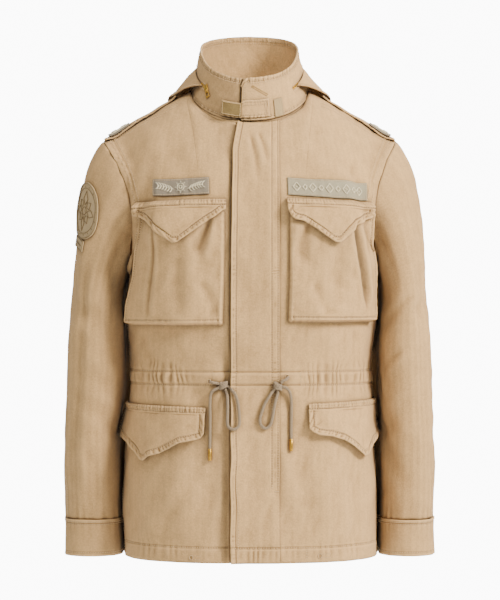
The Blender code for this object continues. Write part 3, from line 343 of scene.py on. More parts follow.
# Smaller creases, with a soft ridge beside each trough. Widths are of the trough.
CREASES = (
    Fold(1, -0.150, -0.150, -0.178, -0.235, 0.010, -0.0014),
    Fold(1, -0.110, -0.090, -0.185, -0.130, 0.010, -0.0010),
    Fold(1, -0.150, -0.120, -0.190, -0.290, 0.011, -0.0016),
    Fold(1, 0.155, -0.120, 0.180, -0.200, 0.010, -0.0014),
    Fold(1, 0.105, -0.090, 0.205, -0.140, 0.010, -0.0011),
    Fold(1, 0.165, -0.150, 0.190, -0.290, 0.011, -0.0016),
    Fold(1, 0.012, -0.070, 0.030, -0.110, 0.005, -0.0011),
    Fold(1, 0.002, -0.075, 0.012, -0.135, 0.005, -0.0010),
    Fold(1, 0.046, -0.150, 0.050, -0.330, 0.008, -0.0008),
    Fold(1, -0.050, -0.520, -0.070, -0.690, 0.013, -0.0012),
    Fold(1, -0.115, -0.640, -0.150, -0.720, 0.012, -0.0013),
    Fold(1, -0.178, -0.520, -0.168, -0.700, 0.014, -0.0020),
    Fold(1, 0.048, -0.560, 0.060, -0.720, 0.012, -0.0012),
    Fold(1, 0.098, -0.520, 0.090, -0.600, 0.010, -0.0012),
    Fold(1, 0.150, -0.570, 0.170, -0.710, 0.013, -0.0016),
    Fold(1, 0.030, -0.640, 0.026, -0.725, 0.009, -0.0009),
    Fold(1, -0.030, -0.620, -0.040, -0.725, 0.010, -0.0009),
    Fold(1, -0.168, -0.380, -0.150, -0.430, 0.009, -0.0018),
    Fold(1, 0.160, -0.375, 0.172, -0.425, 0.009, -0.0018),
    Fold(-1, 0.185, -0.180, 0.120, -0.330, 0.016, -0.0024),
    Fold(-1, -0.185, -0.190, -0.125, -0.330, 0.016, -0.0024),
    Fold(-1, 0.150, -0.140, 0.060, -0.240, 0.014, -0.0018),
    Fold(-1, -0.150, -0.130, -0.065, -0.230, 0.014, -0.0018),
    Fold(-1, 0.020, -0.230, 0.012, -0.400, 0.016, -0.0016),
    Fold(-1, -0.055, -0.270, -0.060, -0.420, 0.014, -0.0014),
    Fold(-1, 0.085, -0.300, 0.110, -0.430, 0.014, -0.0018),
    Fold(-1, -0.120, -0.330, -0.135, -0.430, 0.014, -0.0018),
    Fold(-1, 0.130, -0.480, 0.150, -0.640, 0.018, -0.0022),
    Fold(-1, -0.150, -0.480, -0.160, -0.660, 0.018, -0.0020),
    Fold(-1, 0.010, -0.500, -0.010, -0.690, 0.016, -0.0018),
    Fold(-1, -0.045, -0.540, -0.050, -0.700, 0.014, -0.0014),
    Fold(-1, 0.100, -0.600, 0.105, -0.720, 0.014, -0.0014),
)
CHANNEL_TOP, CHANNEL_BOTTOM = -0.4365, -0.4570      # the stitched channel of the waist cord
HEM_STITCH = -0.7060
GATHERED = {1: (0.070, 0.115), -1: (0.010, 0.060)}  # by face, |x| where the gathers begin and where they are full
PANEL_WIDTH = 0.20                                  # of a panel at the armhole
ARMHOLE_PUCKER_Z = -0.235                           # the armhole's seam puckers above this height


def fold_form(px, pz, x0, z0, x1, z1, width):
    """1 on the fold's middle line, fading out over its width and towards its ends."""
    away, place, _ = line_share(px, pz, x0, z0, x1, z1)
    past = np.maximum(np.abs(place - 0.5) - 0.5, 0) * math.hypot(x1 - x0, z1 - z0)
    far = np.minimum(np.hypot(away, past) / width, 1)
    full = np.sin(math.pi * (0.12 + 0.76 * np.clip(place, 0, 1)))
    return (0.5 + 0.5 * np.cos(math.pi * far)) * full


def crease_form(px, pz, crease):
    away, place, full = line_share(px, pz, crease.x0, crease.z0, crease.x1, crease.z1)
    away = away + 0.6 * crease.width * np.sin(2.6 * place + 9 * crease.x0 * 10)
    narrow = crease.width * (0.75 + 0.5 * np.clip(place, 0, 1))
    return 1.5 * crease.height * full * (bell(away, narrow) - 0.55 * bell(away - 1.7 * narrow, 1.25 * narrow)
                                   - 0.25 * bell(away + 1.6 * narrow, 1.2 * narrow))


def fly_edge(z):
    """x of the fly's free edge."""
    return np.interp(z, FLY_EDGE[:, 0], FLY_EDGE[:, 1])


def fly_dip(away, z):
    """The front sinks beside the fly's free edge below the waist."""
    return 0.0042 * smooth((-0.385 - z) / 0.06) * bell(away + 0.0055, 0.0070)


def torso_relief(face, side, u, p):
    """How far folds, gathers and creases move the torso's cloth out."""
    x, z = p[..., 0], p[..., 2]
    total = np.zeros(x.shape)
    for fold in FOLDS:
        if fold.face == face:
            total += fold.height * fold_form(x, z, fold.x0, fold.z0, fold.x1, fold.z1, fold.width)
    for crease in CREASES:
        if crease.face == face:
            total += crease_form(x, z, crease)
    total += 0.0017 * rumple(p, 0.085, 1) * smooth((z - HEM_Z) / 0.04) + 0.0008 * rumple(p, 0.034, 2)
    total += 0.0002 * rumple(p, 0.016, 4)
    from_arm, beside = (1 - u) * PANEL_WIDTH, smooth((z - ARMHOLE_PUCKER_Z) / 0.03)
    total += beside * (0.0008 * ripple(z + 0.4 * x, 0.0085, 7.0 + side) * bell(from_arm - 0.006, 0.006)
                       - 0.0005 * bell(from_arm - 0.0100, 0.0013))
    if face > 0:
        away = x - fly_edge(z)
        total -= FLY_GROOVE * bell(away + 0.0006, 0.0026) + fly_dip(away, z)
    start, end = GATHERED[face]
    gathered = smooth((np.abs(x) - start) / (end - start))
    around = np.where(face > 0, 0.0, 0.9) + x + 0.0022 * rumple(p, 0.030, 3)
    wave = ripple(around, 0.0092, 3.0 + face)
    inside = smooth((CHANNEL_TOP - z) / 0.004) * smooth((z - CHANNEL_BOTTOM) / 0.004)
    near = bell(z - (CHANNEL_TOP + 0.003), 0.012) + bell(z - (CHANNEL_BOTTOM - 0.003), 0.014)
    total += gathered * wave * (0.0014 * inside + 0.0010 * np.minimum(near, 1.0))
    total += 0.0012 * inside - 0.0013 * (bell(z - CHANNEL_TOP, 0.0016) + bell(z - CHANNEL_BOTTOM, 0.0016))
    hem_wave = ripple(x + 0.03 * z, 0.0105, 5.0 + face) * (0.45 + 0.55 * smooth((np.abs(x) - 0.05) / 0.08))
    total += 0.0008 * hem_wave * bell(z - HEM_STITCH + 0.006, 0.012)
    total += 0.0006 * smooth((HEM_STITCH - z) / 0.003) - 0.0009 * bell(z - HEM_STITCH, 0.0016)
    return total


def torso(face, side, u, t, lift=0.0):
    """A point of the torso's cloth, moved out by lift."""
    p = torso_base(face, side, u, t)
    return p + out_by(torso_normal(face, side, u, t), torso_relief(face, side, u, p) + lift)


def level_t(face, side, u, z):
    """t at a height, also where the form is eased."""
    t, tall = t_at(face, u, z), top_edge(face, u)[2] - ARMPIT_Z
    return np.clip(t + np.where(t > 1, (z - torso_base(face, side, u, t)[..., 2]) / tall, 0.0), 0.0, 2.0)


def on_torso(across, z, lift=0.0):
    """Points of the torso by taped length across from the middle of the front (the wearer's left above 0)."""
    across, z, lift = arrays(across, z, lift)
    side = np.where(across < 0, -1, 1)
    stop = stop_at(across, z)
    front, back = (torso(face, side, u, level_t(face, side, u, z), lift) for face, u in (
        (1, np.clip(stop, 0, 1)), (-1, np.clip(2 - stop, 0, 1))))
    return np.where((stop <= 1)[..., None], front, back)


def across_at(x, z):
    """The taped length across at which the front has this x, for x well inside the side seams."""
    x, z = arrays(x, z)
    low, high = np.full(x.shape, -0.25), np.full(x.shape, 0.25)
    for _ in range(26):
        middle = (low + high) / 2
        side = np.where(middle < 0, -1, 1)
        u = np.clip(stop_at(middle, z), 0, 1)
        less = torso_base(1, side, u, t_at(1, u, z))[..., 0] < x
        low, high = np.where(less, middle, low), np.where(less, high, middle)
    return (low + high) / 2


def on_front(x, z, lift=0.0):
    """Points of the front by their place seen from the front."""
    return on_torso(across_at(x, z), z, lift)


# --- The sleeve: angle 0 is the outer edge, 90 the front, 180 the body side and 270 the back -------------
def armhole(side, angle):
    """(place, outward direction) on the edge that the sleeve is sewn to."""
    v = (1 + np.cos(angle)) / 2
    front = smooth(0.5 + np.sin(angle) / ARMHOLE_BLEND)[..., None]
    one = np.ones(np.shape(angle))
    place, normal = (mix(surface(-1, side, one, 1 + v), surface(1, side, one, 1 + v), front)
                     for surface in (torso_base, torso_normal))
    return place, unit(normal)


def sleeve_ring(side, angle, z):
    s = read_table(SLEEVE, z)
    power = 2 / s[..., 5]
    cosine, sine = np.cos(angle), np.sin(angle)
    inner = s[..., 2] + side * read_table(TORSO, np.minimum(z, ARMPIT_Z))[..., 2]
    half = (s[..., 1] - inner) / 2
    x = inner + half + half * np.sign(cosine) * np.abs(cosine) ** power
    tucked = np.minimum(np.abs(angle % (2 * math.pi) - TUCK_ANGLE) / TUCK_REACH, 1)
    x = x - s[..., 6] * (0.5 + 0.5 * np.cos(math.pi * tucked))
    y = np.where(sine > 0, -s[..., 3], s[..., 4]) * np.abs(sine) ** power
    return points(side * x, y, z)


def sleeve_base(side, angle, t):
    """t runs from the armhole (0) to just under the armpit (1), then to the cuff's hem (2)."""
    angle, t = arrays(angle, t)
    low = sleeve_ring(side, angle, mix(SLEEVE[-1, 0], SLEEVE[0, 0], np.clip(t - 1, 0, 1)))
    start = armhole(side, angle)[0] + np.array((side * GAP * 1.3, 0, 0))
    end = sleeve_ring(side, angle, np.full(angle.shape, SLEEVE[-1, 0]))
    run = np.linalg.norm(end - start, axis=-1, keepdims=True)
    leave = np.array((side * CAP_OUT, 0, -CAP_DOWN)) * run
    arrive = np.array((side * CAP_END_OUT, 0, -CAP_END_DOWN)) * run
    s = np.clip(t, 0, 1)[..., None]
    high = (start * (1 + 2 * s) * (1 - s) ** 2 + leave * s * (1 - s) ** 2
            + end * s * s * (3 - 2 * s) - arrive * s * s * (1 - s))
    return np.where((t >= 1)[..., None], low, high)


def sleeve_normal(side, angle, t):
    angle, t = arrays(angle, t)
    round_way = sleeve_base(side, angle + STEP, t) - sleeve_base(side, angle - STEP, t)
    down = sleeve_base(side, angle, np.minimum(t + STEP, 2.0)) - sleeve_base(side, angle, np.maximum(t - STEP, 0.0))
    own = unit(np.cross(round_way, down)) * side
    upper = (1 + np.cos(angle)) / 2 * (1 - smooth(t / 0.25))
    return unit(mix(own, armhole(side, angle)[1], upper[..., None]))


# Sleeve folds by the turn round the sleeve (degrees) and height; side 0 is on both sleeves
SleeveFold = namedtuple("SleeveFold", "side angle0 z0 angle1 z1 width height")
SLEEVE_FOLDS = (
    SleeveFold(0, 124, -0.130, 116, -0.300, 0.026, -0.0085),
    SleeveFold(0, 20, -0.320, 130, -0.375, 0.030, -0.0045),
    SleeveFold(0, 60, -0.440, 150, -0.470, 0.028, -0.0040),
    SleeveFold(0, 70, -0.480, 165, -0.540, 0.028, -0.0035),
    SleeveFold(0, 200, -0.430, 300, -0.400, 0.030, -0.0045),
    SleeveFold(0, 210, -0.500, 320, -0.540, 0.030, -0.0035),
)
SLEEVE_CREASES = (
    SleeveFold(-1, 72, -0.250, 48, -0.610, 0.010, -0.0019),
    SleeveFold(-1, 118, -0.150, 112, -0.290, 0.020, -0.0030),
    SleeveFold(-1, 84, -0.560, 100, -0.650, 0.010, -0.0010),
    SleeveFold(-1, 40, -0.090, 55, -0.190, 0.010, -0.0012),
    SleeveFold(1, 118, -0.150, 108, -0.290, 0.020, -0.0032),
    SleeveFold(1, 78, -0.318, 152, -0.380, 0.009, -0.0022),
    SleeveFold(1, 168, -0.440, 118, -0.540, 0.010, -0.0024),
    SleeveFold(1, 172, -0.478, 108, -0.615, 0.011, -0.0024),
    SleeveFold(1, 95, -0.410, 160, -0.450, 0.008, -0.0016),
    SleeveFold(1, 62, -0.250, 50, -0.560, 0.012, -0.0012),
    SleeveFold(0, 215, -0.360, 300, -0.330, 0.012, -0.0026),
    SleeveFold(0, 225, -0.460, 318, -0.480, 0.011, -0.0024),
    SleeveFold(0, 240, -0.160, 225, -0.300, 0.018, -0.0026),
    SleeveFold(0, 275, -0.220, 290, -0.380, 0.014, -0.0018),
    SleeveFold(0, 250, -0.560, 262, -0.655, 0.012, -0.0016),
    SleeveFold(0, 330, -0.300, 345, -0.420, 0.012, -0.0014),
    SleeveFold(0, 350, -0.470, 340, -0.620, 0.014, -0.0014),
)
ROUND_METRE = 0.00085                   # metres round the sleeve for each degree
CAP_LENGTH = 0.20                       # from the armhole to under the armpit
VENT_ANGLE, VENT_TOP = 28.0, -0.598     # the folded vent above each cuff
UNDER_SEAM = 236                        # degrees, the seam behind the body side


def round_metres(turn):
    """Metres round the sleeve from its outer edge, either way."""
    return np.abs((turn + 180) % 360 - 180) * ROUND_METRE


def vent_step(turn):
    """From -0.5 to 0.5 across the vent's edge."""
    return smooth((turn - VENT_ANGLE) * ROUND_METRE / 0.0016 + 0.5) - 0.5


def sleeve_relief(side, angle, t, p):
    """How far folds, creases, the seam's puckers and the vent move the sleeve's cloth out."""
    turn, z = np.degrees(angle) % 360, p[..., 2]
    total = np.zeros(z.shape)

    def near(fold):
        """The turn counted on from the fold's middle, so that it doesn't jump beside the fold."""
        middle = (fold.angle0 + fold.angle1) / 2
        return (turn - middle + 180) % 360 - 180 + middle

    for fold in SLEEVE_FOLDS:
        total += fold.height * fold_form(near(fold) / 1000, z, fold.angle0 / 1000, fold.z0,
                                         fold.angle1 / 1000, fold.z1, fold.width)
    for fold in SLEEVE_CREASES:
        if fold.side in (0, side):
            line = Fold(1, fold.angle0 * ROUND_METRE, fold.z0, fold.angle1 * ROUND_METRE, fold.z1,
                        fold.width, fold.height * (1.0 if side < 0 else 0.85))
            total += crease_form(near(fold) * ROUND_METRE, z, line)
    total += (0.0018 * rumple(p, 0.080, 11 + side) + 0.0007 * rumple(p, 0.032, 13 + side)) * smooth(t / 0.2)
    from_seam = np.clip(t, 0, 1) * CAP_LENGTH
    around = round_metres(turn)
    total += 0.0009 * ripple(around, 0.012, 2.0 + side) * bell(from_seam - 0.008, 0.008)
    total -= 0.0006 * bell(from_seam, 0.003)
    vent = np.abs(turn - VENT_ANGLE) * ROUND_METRE
    under = smooth((VENT_TOP - z) / 0.012) * smooth((z - CUFF_TOP) / 0.004)
    total += 0.0015 * under * vent_step(turn) * bell(vent, 0.016)
    near_cuff = bell(z - CUFF_TOP, 0.022) * (z > CUFF_TOP)
    total += 0.0010 * ripple(around, 0.017, 8.0 + side) * near_cuff
    return total


def sleeve(side, angle, t, lift=0.0):
    p = sleeve_base(side, angle, t)
    return p + out_by(sleeve_normal(side, angle, t), sleeve_relief(side, angle, t, p) + lift)


def sleeve_t(z):
    return 1 + (np.asarray(z) - SLEEVE[-1, 0]) / (SLEEVE[0, 0] - SLEEVE[-1, 0])


# --- The collar: angle 0 is the middle of the front, 90 the wearer's left; h 0 the neck seam, 1 the rim ----
OVERLAP_START, OVERLAP_END = math.radians(-8), math.radians(372)
OVERLAP_LIFT = 0.0038
COLLAR_CLOTH = 0.0030
ZIP_H = 0.50
ZIP_FROM, ZIP_TO = math.radians(53), math.radians(307)
ZIP_HIDDEN = 1.30                       # radians each way within which the zip's line shows
FOOT_GAP = 0.0013
CORNER = math.radians(7.5)              # the lap's rounded corner
RIM_METRES = 0.075                      # the collar's height, for lengths up and down it
ROUND_COLLAR = 0.09                     # metres round the collar for each radian


def collar_base(angle, h):
    cosine, sine = np.cos(angle), np.sin(angle)
    front = cosine > 0
    behind = np.maximum(-cosine, 0)
    foot_y = np.where(front, -NECK_FRONT, -NECK_BACK) * cosine
    foot_z = NECK_Z + np.where(front, (NECK_FRONT_Z - NECK_Z) * cosine, (NECK_BACK_Z - NECK_Z) * behind)
    rim_y = np.where(front, -RIM_FRONT, -RIM_BACK) * cosine
    rim_z = RIM_Z + np.where(front, (RIM_FRONT_Z - RIM_Z) * cosine, (RIM_BACK_Z - RIM_Z) * behind ** 0.7)
    foot = points(NECK_X * sine, foot_y, foot_z + FOOT_GAP)
    return mix(foot, points(RIM_X * sine, rim_y, rim_z), np.asarray(h)[..., None])


def collar_normal(angle, h):
    h = np.asarray(h, float)
    h0, h1 = np.maximum(h - STEP, 0.0), np.minimum(h + STEP, 1.0)
    round_way = collar_base(angle + STEP, h) - collar_base(angle - STEP, h)
    return unit(np.cross(round_way, collar_base(angle, h1) - collar_base(angle, h0)))


def overlap_lift(angle):
    return OVERLAP_LIFT * (1 - smooth((angle - math.radians(16)) / math.radians(34)))


def collar_relief(angle, h, p):
    """How far the crumples, the lap's edge, the zip, the two seams and their puckers move the cloth out."""
    from_foot, from_rim, from_zip = h * RIM_METRES, (1 - h) * RIM_METRES, (h - ZIP_H) * RIM_METRES
    zipped = smooth((angle - ZIP_FROM) / 0.05) * smooth((ZIP_TO - angle) / 0.05)
    zipped = zipped * (1 - smooth((angle - ZIP_HIDDEN) / 0.25) * smooth((2 * math.pi - ZIP_HIDDEN - angle) / 0.25))
    total = 0.0012 * rumple(p, 0.060, 21) + 0.0004 * rumple(p, 0.022, 22)
    total -= 0.0028 * bell((angle - 2 * math.pi - OVERLAP_START) * 0.085 + 0.0010, 0.0022)
    total -= zipped * 0.0012 * bell(from_zip, 0.0022)
    total += zipped * 0.0006 * (bell(from_zip - 0.005, 0.003) + bell(from_zip + 0.005, 0.003))
    total += 0.0016 * bell(from_foot - 0.0018, 0.0022) + 0.0005 * bell(from_rim - 0.0015, 0.002)
    total += 0.0012 * ripple(angle * ROUND_COLLAR, 0.0066, 4.0) * (bell(from_foot - 0.004, 0.004)
                                                                   + bell(from_rim - 0.004, 0.005))
    total -= 0.0009 * bell(from_rim - 0.0070, 0.0012)
    return total


def collar_top(angle):
    """The highest h of the collar: the lap's end has a rounded corner."""
    share = np.clip((angle - OVERLAP_START) / CORNER, 0, 1)
    return 1 - 0.165 * (1 - np.sqrt(np.maximum(0, 1 - (1 - share) ** 2)))


def collar(angle, h, lift=0.0):
    angle, h = arrays(angle, h)
    p = collar_base(angle, h * collar_top(angle))
    return p + out_by(collar_normal(angle, h), collar_relief(angle, h, p) + lift)


# --- The hood: turn round the neck in degrees, x, y and height of its free edge -----------------------------
HOOD_EDGE = np.array([
    (57, 0.081, -0.052, 0.014),
    (68, 0.104, -0.036, 0.009),
    (80, 0.122, -0.014, 0.001),
    (95, 0.132, 0.020, -0.004),
    (115, 0.132, 0.076, -0.028),
    (135, 0.112, 0.124, -0.078),
    (158, 0.062, 0.150, -0.140),
    (180, 0.000, 0.156, -0.160),
])
HOOD_START, HOOD_END = math.radians(57), math.radians(303)
HOOD_BULGE, HOOD_GAP = 0.024, 0.0009


def hood_base(angle, w):
    """w runs from the zip (0) to the hood's free edge (1)."""
    angle, w = arrays(angle, w)
    turn = np.degrees(angle)
    side, turn = np.where(turn <= 180, 1, -1), np.where(turn <= 180, turn, 360 - turn)
    edge = read_table(HOOD_EDGE, turn)
    zip_h = np.full(angle.shape, ZIP_H)
    root = collar_base(angle, zip_h) + out_by(collar_normal(angle, zip_h), HOOD_GAP + 0 * angle)
    fall = points(side * edge[..., 1], edge[..., 2], edge[..., 3]) - root
    out = unit(points(side * np.sin(np.radians(turn)) * 0.4, 0.45 * smooth((turn - 90) / 60), 0.8))
    full = mix(0.06, 1.0, smooth((turn - 108) / 50))
    arch = np.sin(math.pi * np.clip(w, 0, 1) ** 0.7)
    size = full * HOOD_BULGE * smooth(np.linalg.norm(fall, axis=-1) / 0.14) * arch
    return root + out_by(fall, w) + out_by(out, size)


def hood(angle, w, lift=0.0):
    angle, w = arrays(angle, w)
    w0, w1 = np.maximum(w - 0.01, 0.0), np.minimum(w + 0.01, 1.0)
    round_way = hood_base(angle + 0.01, w) - hood_base(angle - 0.01, w)
    normal = unit(np.cross(hood_base(angle, w1) - hood_base(angle, w0), round_way))
    p = hood_base(angle, w)
    size = np.linalg.norm(hood_base(angle, np.ones(w.shape)) - hood_base(angle, np.zeros(w.shape)), axis=-1)
    free = smooth(size / 0.10) * smooth(w / 0.25)
    total = free * (0.0035 * ripple(angle * 0.12, 0.060, 6.0) * np.sin(math.pi * w * 0.8)
                    + 0.0018 * rumple(p, 0.050, 31) + 0.0006 * rumple(p, 0.02, 32))
    total += 0.0012 * bell((1 - w) * size - 0.003, 0.003) - 0.0008 * bell((1 - w) * size - 0.016, 0.0015)
    total += 0.0010 * bell((angle - math.pi) * 0.1, 0.004) * smooth(w / 0.1) * free
    return p + out_by(normal, total + lift)


# --- The top of the shoulder: x along the seam, offset forward (below 0) or back of it ----------------------
SHOULDER_STOPS = 2 - 0.3 * steps(0, 1, 60) ** 2      # rows of the torso down from the seam
RIDGE_HALF = 0.001                      # how near the seam a place lies right on it


def shoulder(side, x, offset, lift=0.0):
    x, offset = arrays(x, offset)
    u = NECK_SHARE + (x - NECK_X) / (SHOULDER_X - NECK_X) * (1 - NECK_SHARE)
    found = []
    for face in (1, -1):
        length = run_length(torso_base(face, side, u[..., None], SHOULDER_STOPS), u.ndim)
        t = np.array([np.interp(away, row, SHOULDER_STOPS) for row, away in zip(
            length.reshape(-1, len(SHOULDER_STOPS)), np.abs(offset).reshape(-1))]).reshape(u.shape)
        found.append((torso_base(face, side, u, t), torso_normal(face, side, u, t)))
    place, normal = (np.where((offset <= 0)[..., None], *pair) for pair in zip(*found))
    ridge = np.array((0.5 * side, 0, 0.866))
    place = np.where(np.abs(offset)[..., None] < RIDGE_HALF, place * (1, 0, 1), place)
    normal = unit(mix(normal, ridge, bell(offset, 0.006)[..., None]))
    return place + out_by(normal, lift + 0 * x)


# --- Making pieces -------------------------------------------------------------------------------------
def linear(code):
    """An sRGB hex colour as linear RGBA."""
    parts = [int(code[k:k + 2], 16) / 255 for k in (1, 3, 5)]
    return [p / 12.92 if p <= 0.04045 else ((p + 0.055) / 1.055) ** 2.4 for p in parts] + [1.0]


def add(name, mesh):
    piece = bpy.data.objects.new(name.replace("_", "-"), mesh)
    bpy.context.scene.collection.objects.link(piece)
    return piece


def dress(piece, slot, material, *nodes, body="jacket"):
    """The piece gets its finish, rides on its body and stands for its CAD nodes."""
    piece.data.materials.clear()
    piece.data.materials.append(material)
    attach(piece, body)
    if nodes:
        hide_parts(*nodes)
    return piece


FULL_BEND = 240                         # 1/m at which a crest is fully paled (rubbed wear and painted highlight) and a trough fully darkened (painted shade)


def crest_of(grid, ring):
    """How sharply the cloth bends out (above 0) or in at each point."""
    wide = np.pad(grid, ((1, 1), (1, 1), (0, 0)), mode="edge")
    if ring:
        wide[:, 0], wide[:, -1] = wide[:, -3], wide[:, 2]
    up, down, left, right = wide[2:, 1:-1], wide[:-2, 1:-1], wide[1:-1, :-2], wide[1:-1, 2:]
    normal = unit(np.cross(right - left, up - down))
    bend = np.zeros(grid.shape[:2])
    for a, b in ((up, down), (left, right)):
        size = np.maximum(np.linalg.norm(a - b, axis=-1) / 2, 2e-4)
        bend -= np.einsum("ijk,ijk->ij", a + b - 2 * grid, normal) / size ** 2
    bend[0], bend[-1] = bend[1], bend[-2]
    if not ring:
        bend[:, 0], bend[:, -1] = bend[:, 1], bend[:, -2]
    return bend, normal


def grid_mesh(name, grid, measure):
    """A mesh over a grid of points, with the cloth's own measure (across, along) as its UV map."""
    high, wide = grid.shape[:2]
    bm = bmesh.new()
    bmesh.ops.create_grid(bm, x_segments=wide - 1, y_segments=high - 1, size=1.0)
    mesh = bpy.data.meshes.new(name)
    bm.to_mesh(mesh)
    bm.free()
    flat = np.empty(len(mesh.vertices) * 3)
    mesh.vertices.foreach_get("co", flat)
    flat = flat.reshape(-1, 3)
    column = np.rint((flat[:, 0] + 1) / 2 * (wide - 1)).astype(int)
    row = np.rint((flat[:, 1] + 1) / 2 * (high - 1)).astype(int)
    mesh.vertices.foreach_set("co", grid[row, column].reshape(-1))
    loops = np.empty(len(mesh.loops), dtype=int)
    mesh.loops.foreach_get("vertex_index", loops)
    uv = np.stack([np.broadcast_to(m, (high, wide))[row, column][loops] for m in measure], axis=-1)
    mesh.uv_layers.new(name="cloth").data.foreach_set("uv", uv.reshape(-1))
    mesh.update()
    return mesh, row, column


def weld(mesh, outward=False):
    """Joins points that lie on each other, such as a ring's two sides, and can turn the faces outward."""
    bm = bmesh.new()
    bm.from_mesh(mesh)
    bmesh.ops.remove_doubles(bm, verts=bm.verts[:], dist=WELD)
    if outward:
        bmesh.ops.recalc_face_normals(bm, faces=bm.faces[:])
    bm.to_mesh(mesh)
    bm.free()


def mesh_of(bm, name):
    """The bmesh as a smooth mesh."""
    mesh = bpy.data.meshes.new(name)
    bm.to_mesh(mesh)
    bm.free()
    mesh.shade_smooth()
    return mesh


def shell(name, rows, columns, surface, thick, slot="twill", look="twill", ring=False, weave=None, worn="",
          wear=0.0022, painted_shade=None):
    """A thin shell of cloth over a grid: surface(rows, columns, lift) gives its outer points.

    It stands for the CAD node of its name. weave(rows, columns, grid) gives the cloth's own measure (across,
    along) in metres; worn names the sides whose edges are rubbed pale: top, bottom, left, right (of the grid's
    last row, first row and so on). shade(rows, columns) is how much deeper the cloth's colour stays where
    washing rubs it less.
    """
    rows, columns = np.asarray(rows, float)[:, None], np.asarray(columns, float)[None, :]
    grid = surface(rows, columns, 0.0)
    across, along = run_length(grid, 1), run_length(grid)
    measure = weave(rows, columns, grid) if weave else (across, along)
    mesh, row, column = grid_mesh(name, grid, measure)
    bend, normal = crest_of(grid, ring)
    out = surface(rows, columns, 1e-3) - grid
    facing = np.einsum("ijk,ijk->ij", out, normal)
    turned = facing.mean() < 0
    edge = np.zeros(grid.shape[:2])
    for word, away in (("bottom", along), ("top", along[-1] - along),
                       ("left", across), ("right", across[:, -1:] - across)):
        if word in worn:
            edge = np.maximum(edge, bell(away, wear))
    # Painted shade: how much the colour is darkened where shadow falls, or lightened where the value is below 0.
    painted_shade_share = np.broadcast_to(painted_shade(rows, columns) if painted_shade else 0.0, edge.shape)
    for label, values in (("crest", np.clip((-bend if turned else bend) / FULL_BEND, -1, 1)), ("edge", edge),
                          ("painted_shade", painted_shade_share)):
        layer = mesh.attributes.new(label, "FLOAT", "POINT")
        layer.data.foreach_set("value", values[row, column].astype(np.float32))
    if turned:
        mesh.flip_normals()
    mesh.update()
    if ring:
        weld(mesh)
    piece = add(name, mesh)
    mesh.shade_smooth()
    solid = piece.modifiers.new("wall", "SOLIDIFY")
    solid.thickness, solid.offset, solid.use_even_offset = thick, -1.0, False
    return dress(piece, slot, material(look), name)


def finer_near(low, high, wide, narrow, seams, reach):
    """Values from low to high, closer together near the seams."""
    values, at = [low], low
    while at < high:
        near = min(abs(at - s) for s in seams) if seams else reach
        at += narrow if near < reach else wide
        values.append(min(at, high))
    return np.array(values)


# --- Sewing: each stitch is a small bead of thread lying on the cloth ----------------------------------------
def crosswise(surface):
    """The same surface with its two measures in the other order."""
    return lambda a, b, lift: surface(b, a, lift)


class Sewing:
    """Collects rows of stitches and makes one piece of them."""

    def __init__(self, name):
        self.name, self.beads = name, []

    def row(self, surface, a, b, pitch=0.0039, share=0.62, width=0.00056, lift=0.00045, slant=0.0):
        """A row along surface(a, b, lift); one of a and b can be a single value."""
        a, b = (np.array(values) for values in arrays(a, b))
        path = surface(a, b, lift)
        normal = unit(surface(a, b, lift + 1e-3) - path)
        length = run_length(path)
        count = max(1, int(length[-1] / pitch))
        middles = (np.arange(count) + 0.5) * length[-1] / count
        half = pitch * share / 2
        for start, end, up in zip(*(at_lengths(middles + off, length, path) for off in (-half, half)),
                                  at_lengths(middles, length, normal)):
            self.beads.append((Vector(start), Vector(end), Vector(up), width, slant))

    def make(self, look="thread", slot="twill"):
        bm = bmesh.new()
        for start, end, up, width, slant in self.beads:
            way = end - start
            size = way.length / 2
            if size < 1e-6:
                continue
            way.normalize()
            side = up.cross(way).normalized()
            if slant:
                way = (way + side * slant).normalized()
                side = up.cross(way).normalized()
            turn = Matrix((way * size * 1.1, side * width, up.normalized() * width * 0.8)).transposed().to_4x4()
            turn.translation = (start + end) / 2
            bmesh.ops.create_icosphere(bm, subdivisions=1, radius=1.0, matrix=turn)
        dress(add(self.name, mesh_of(bm, self.name)), slot, material(look))


# --- Materials -------------------------------------------------------------------------------------------
def add_node(tree, kind, settings=None, **links):
    """A node with its settings, and its inputs linked from sockets or set to values."""
    made = tree.nodes.new(kind)
    for key, value in (settings or {}).items():
        setattr(made, key, value)
    for key, value in links.items():
        place = int(key[1:]) if key[0] == "i" and key[1:].isdigit() else key.replace("_", " ")
        if isinstance(value, bpy.types.NodeSocket):
            tree.links.new(value, made.inputs[place])
        else:
            made.inputs[place].default_value = value
    return made


def start_material(name, roughness, **inputs):
    material = bpy.data.materials.new(name)
    material.use_nodes = True
    tree = material.node_tree
    shader = tree.nodes["Principled BSDF"]
    shader.inputs["Roughness"].default_value = roughness
    for key, value in inputs.items():
        shader.inputs[key.replace("_", " ")].default_value = value
    return material, tree, shader


def finish_material(tree, shader, colour, height, strength, distance):
    """Links the colour, and a bump of this height, to the shader."""
    bump = add_node(tree, "ShaderNodeBump", Strength=strength, Distance=distance, Height=height)
    tree.links.new(bump.outputs[0], shader.inputs["Normal"])
    tree.links.new(colour, shader.inputs["Base Color"])


def noise(tree, scale, detail, **more):
    """Noise fixed to the piece's own place."""
    place = add_node(tree, "ShaderNodeTexCoord").outputs["Object"]
    return add_node(tree, "ShaderNodeTexNoise", i0=place, Scale=scale, Detail=detail, **more).outputs[0]


def measured(tree):
    """The cloth's own measure: across and along."""
    uv = add_node(tree, "ShaderNodeUVMap", {"uv_map": "cloth"}).outputs[0]
    return add_node(tree, "ShaderNodeSeparateXYZ", i0=uv).outputs[:2]


def layer(tree, name):
    """A value kept at each point of the cloth."""
    return add_node(tree, "ShaderNodeAttribute", {"attribute_name": name}).outputs["Fac"]


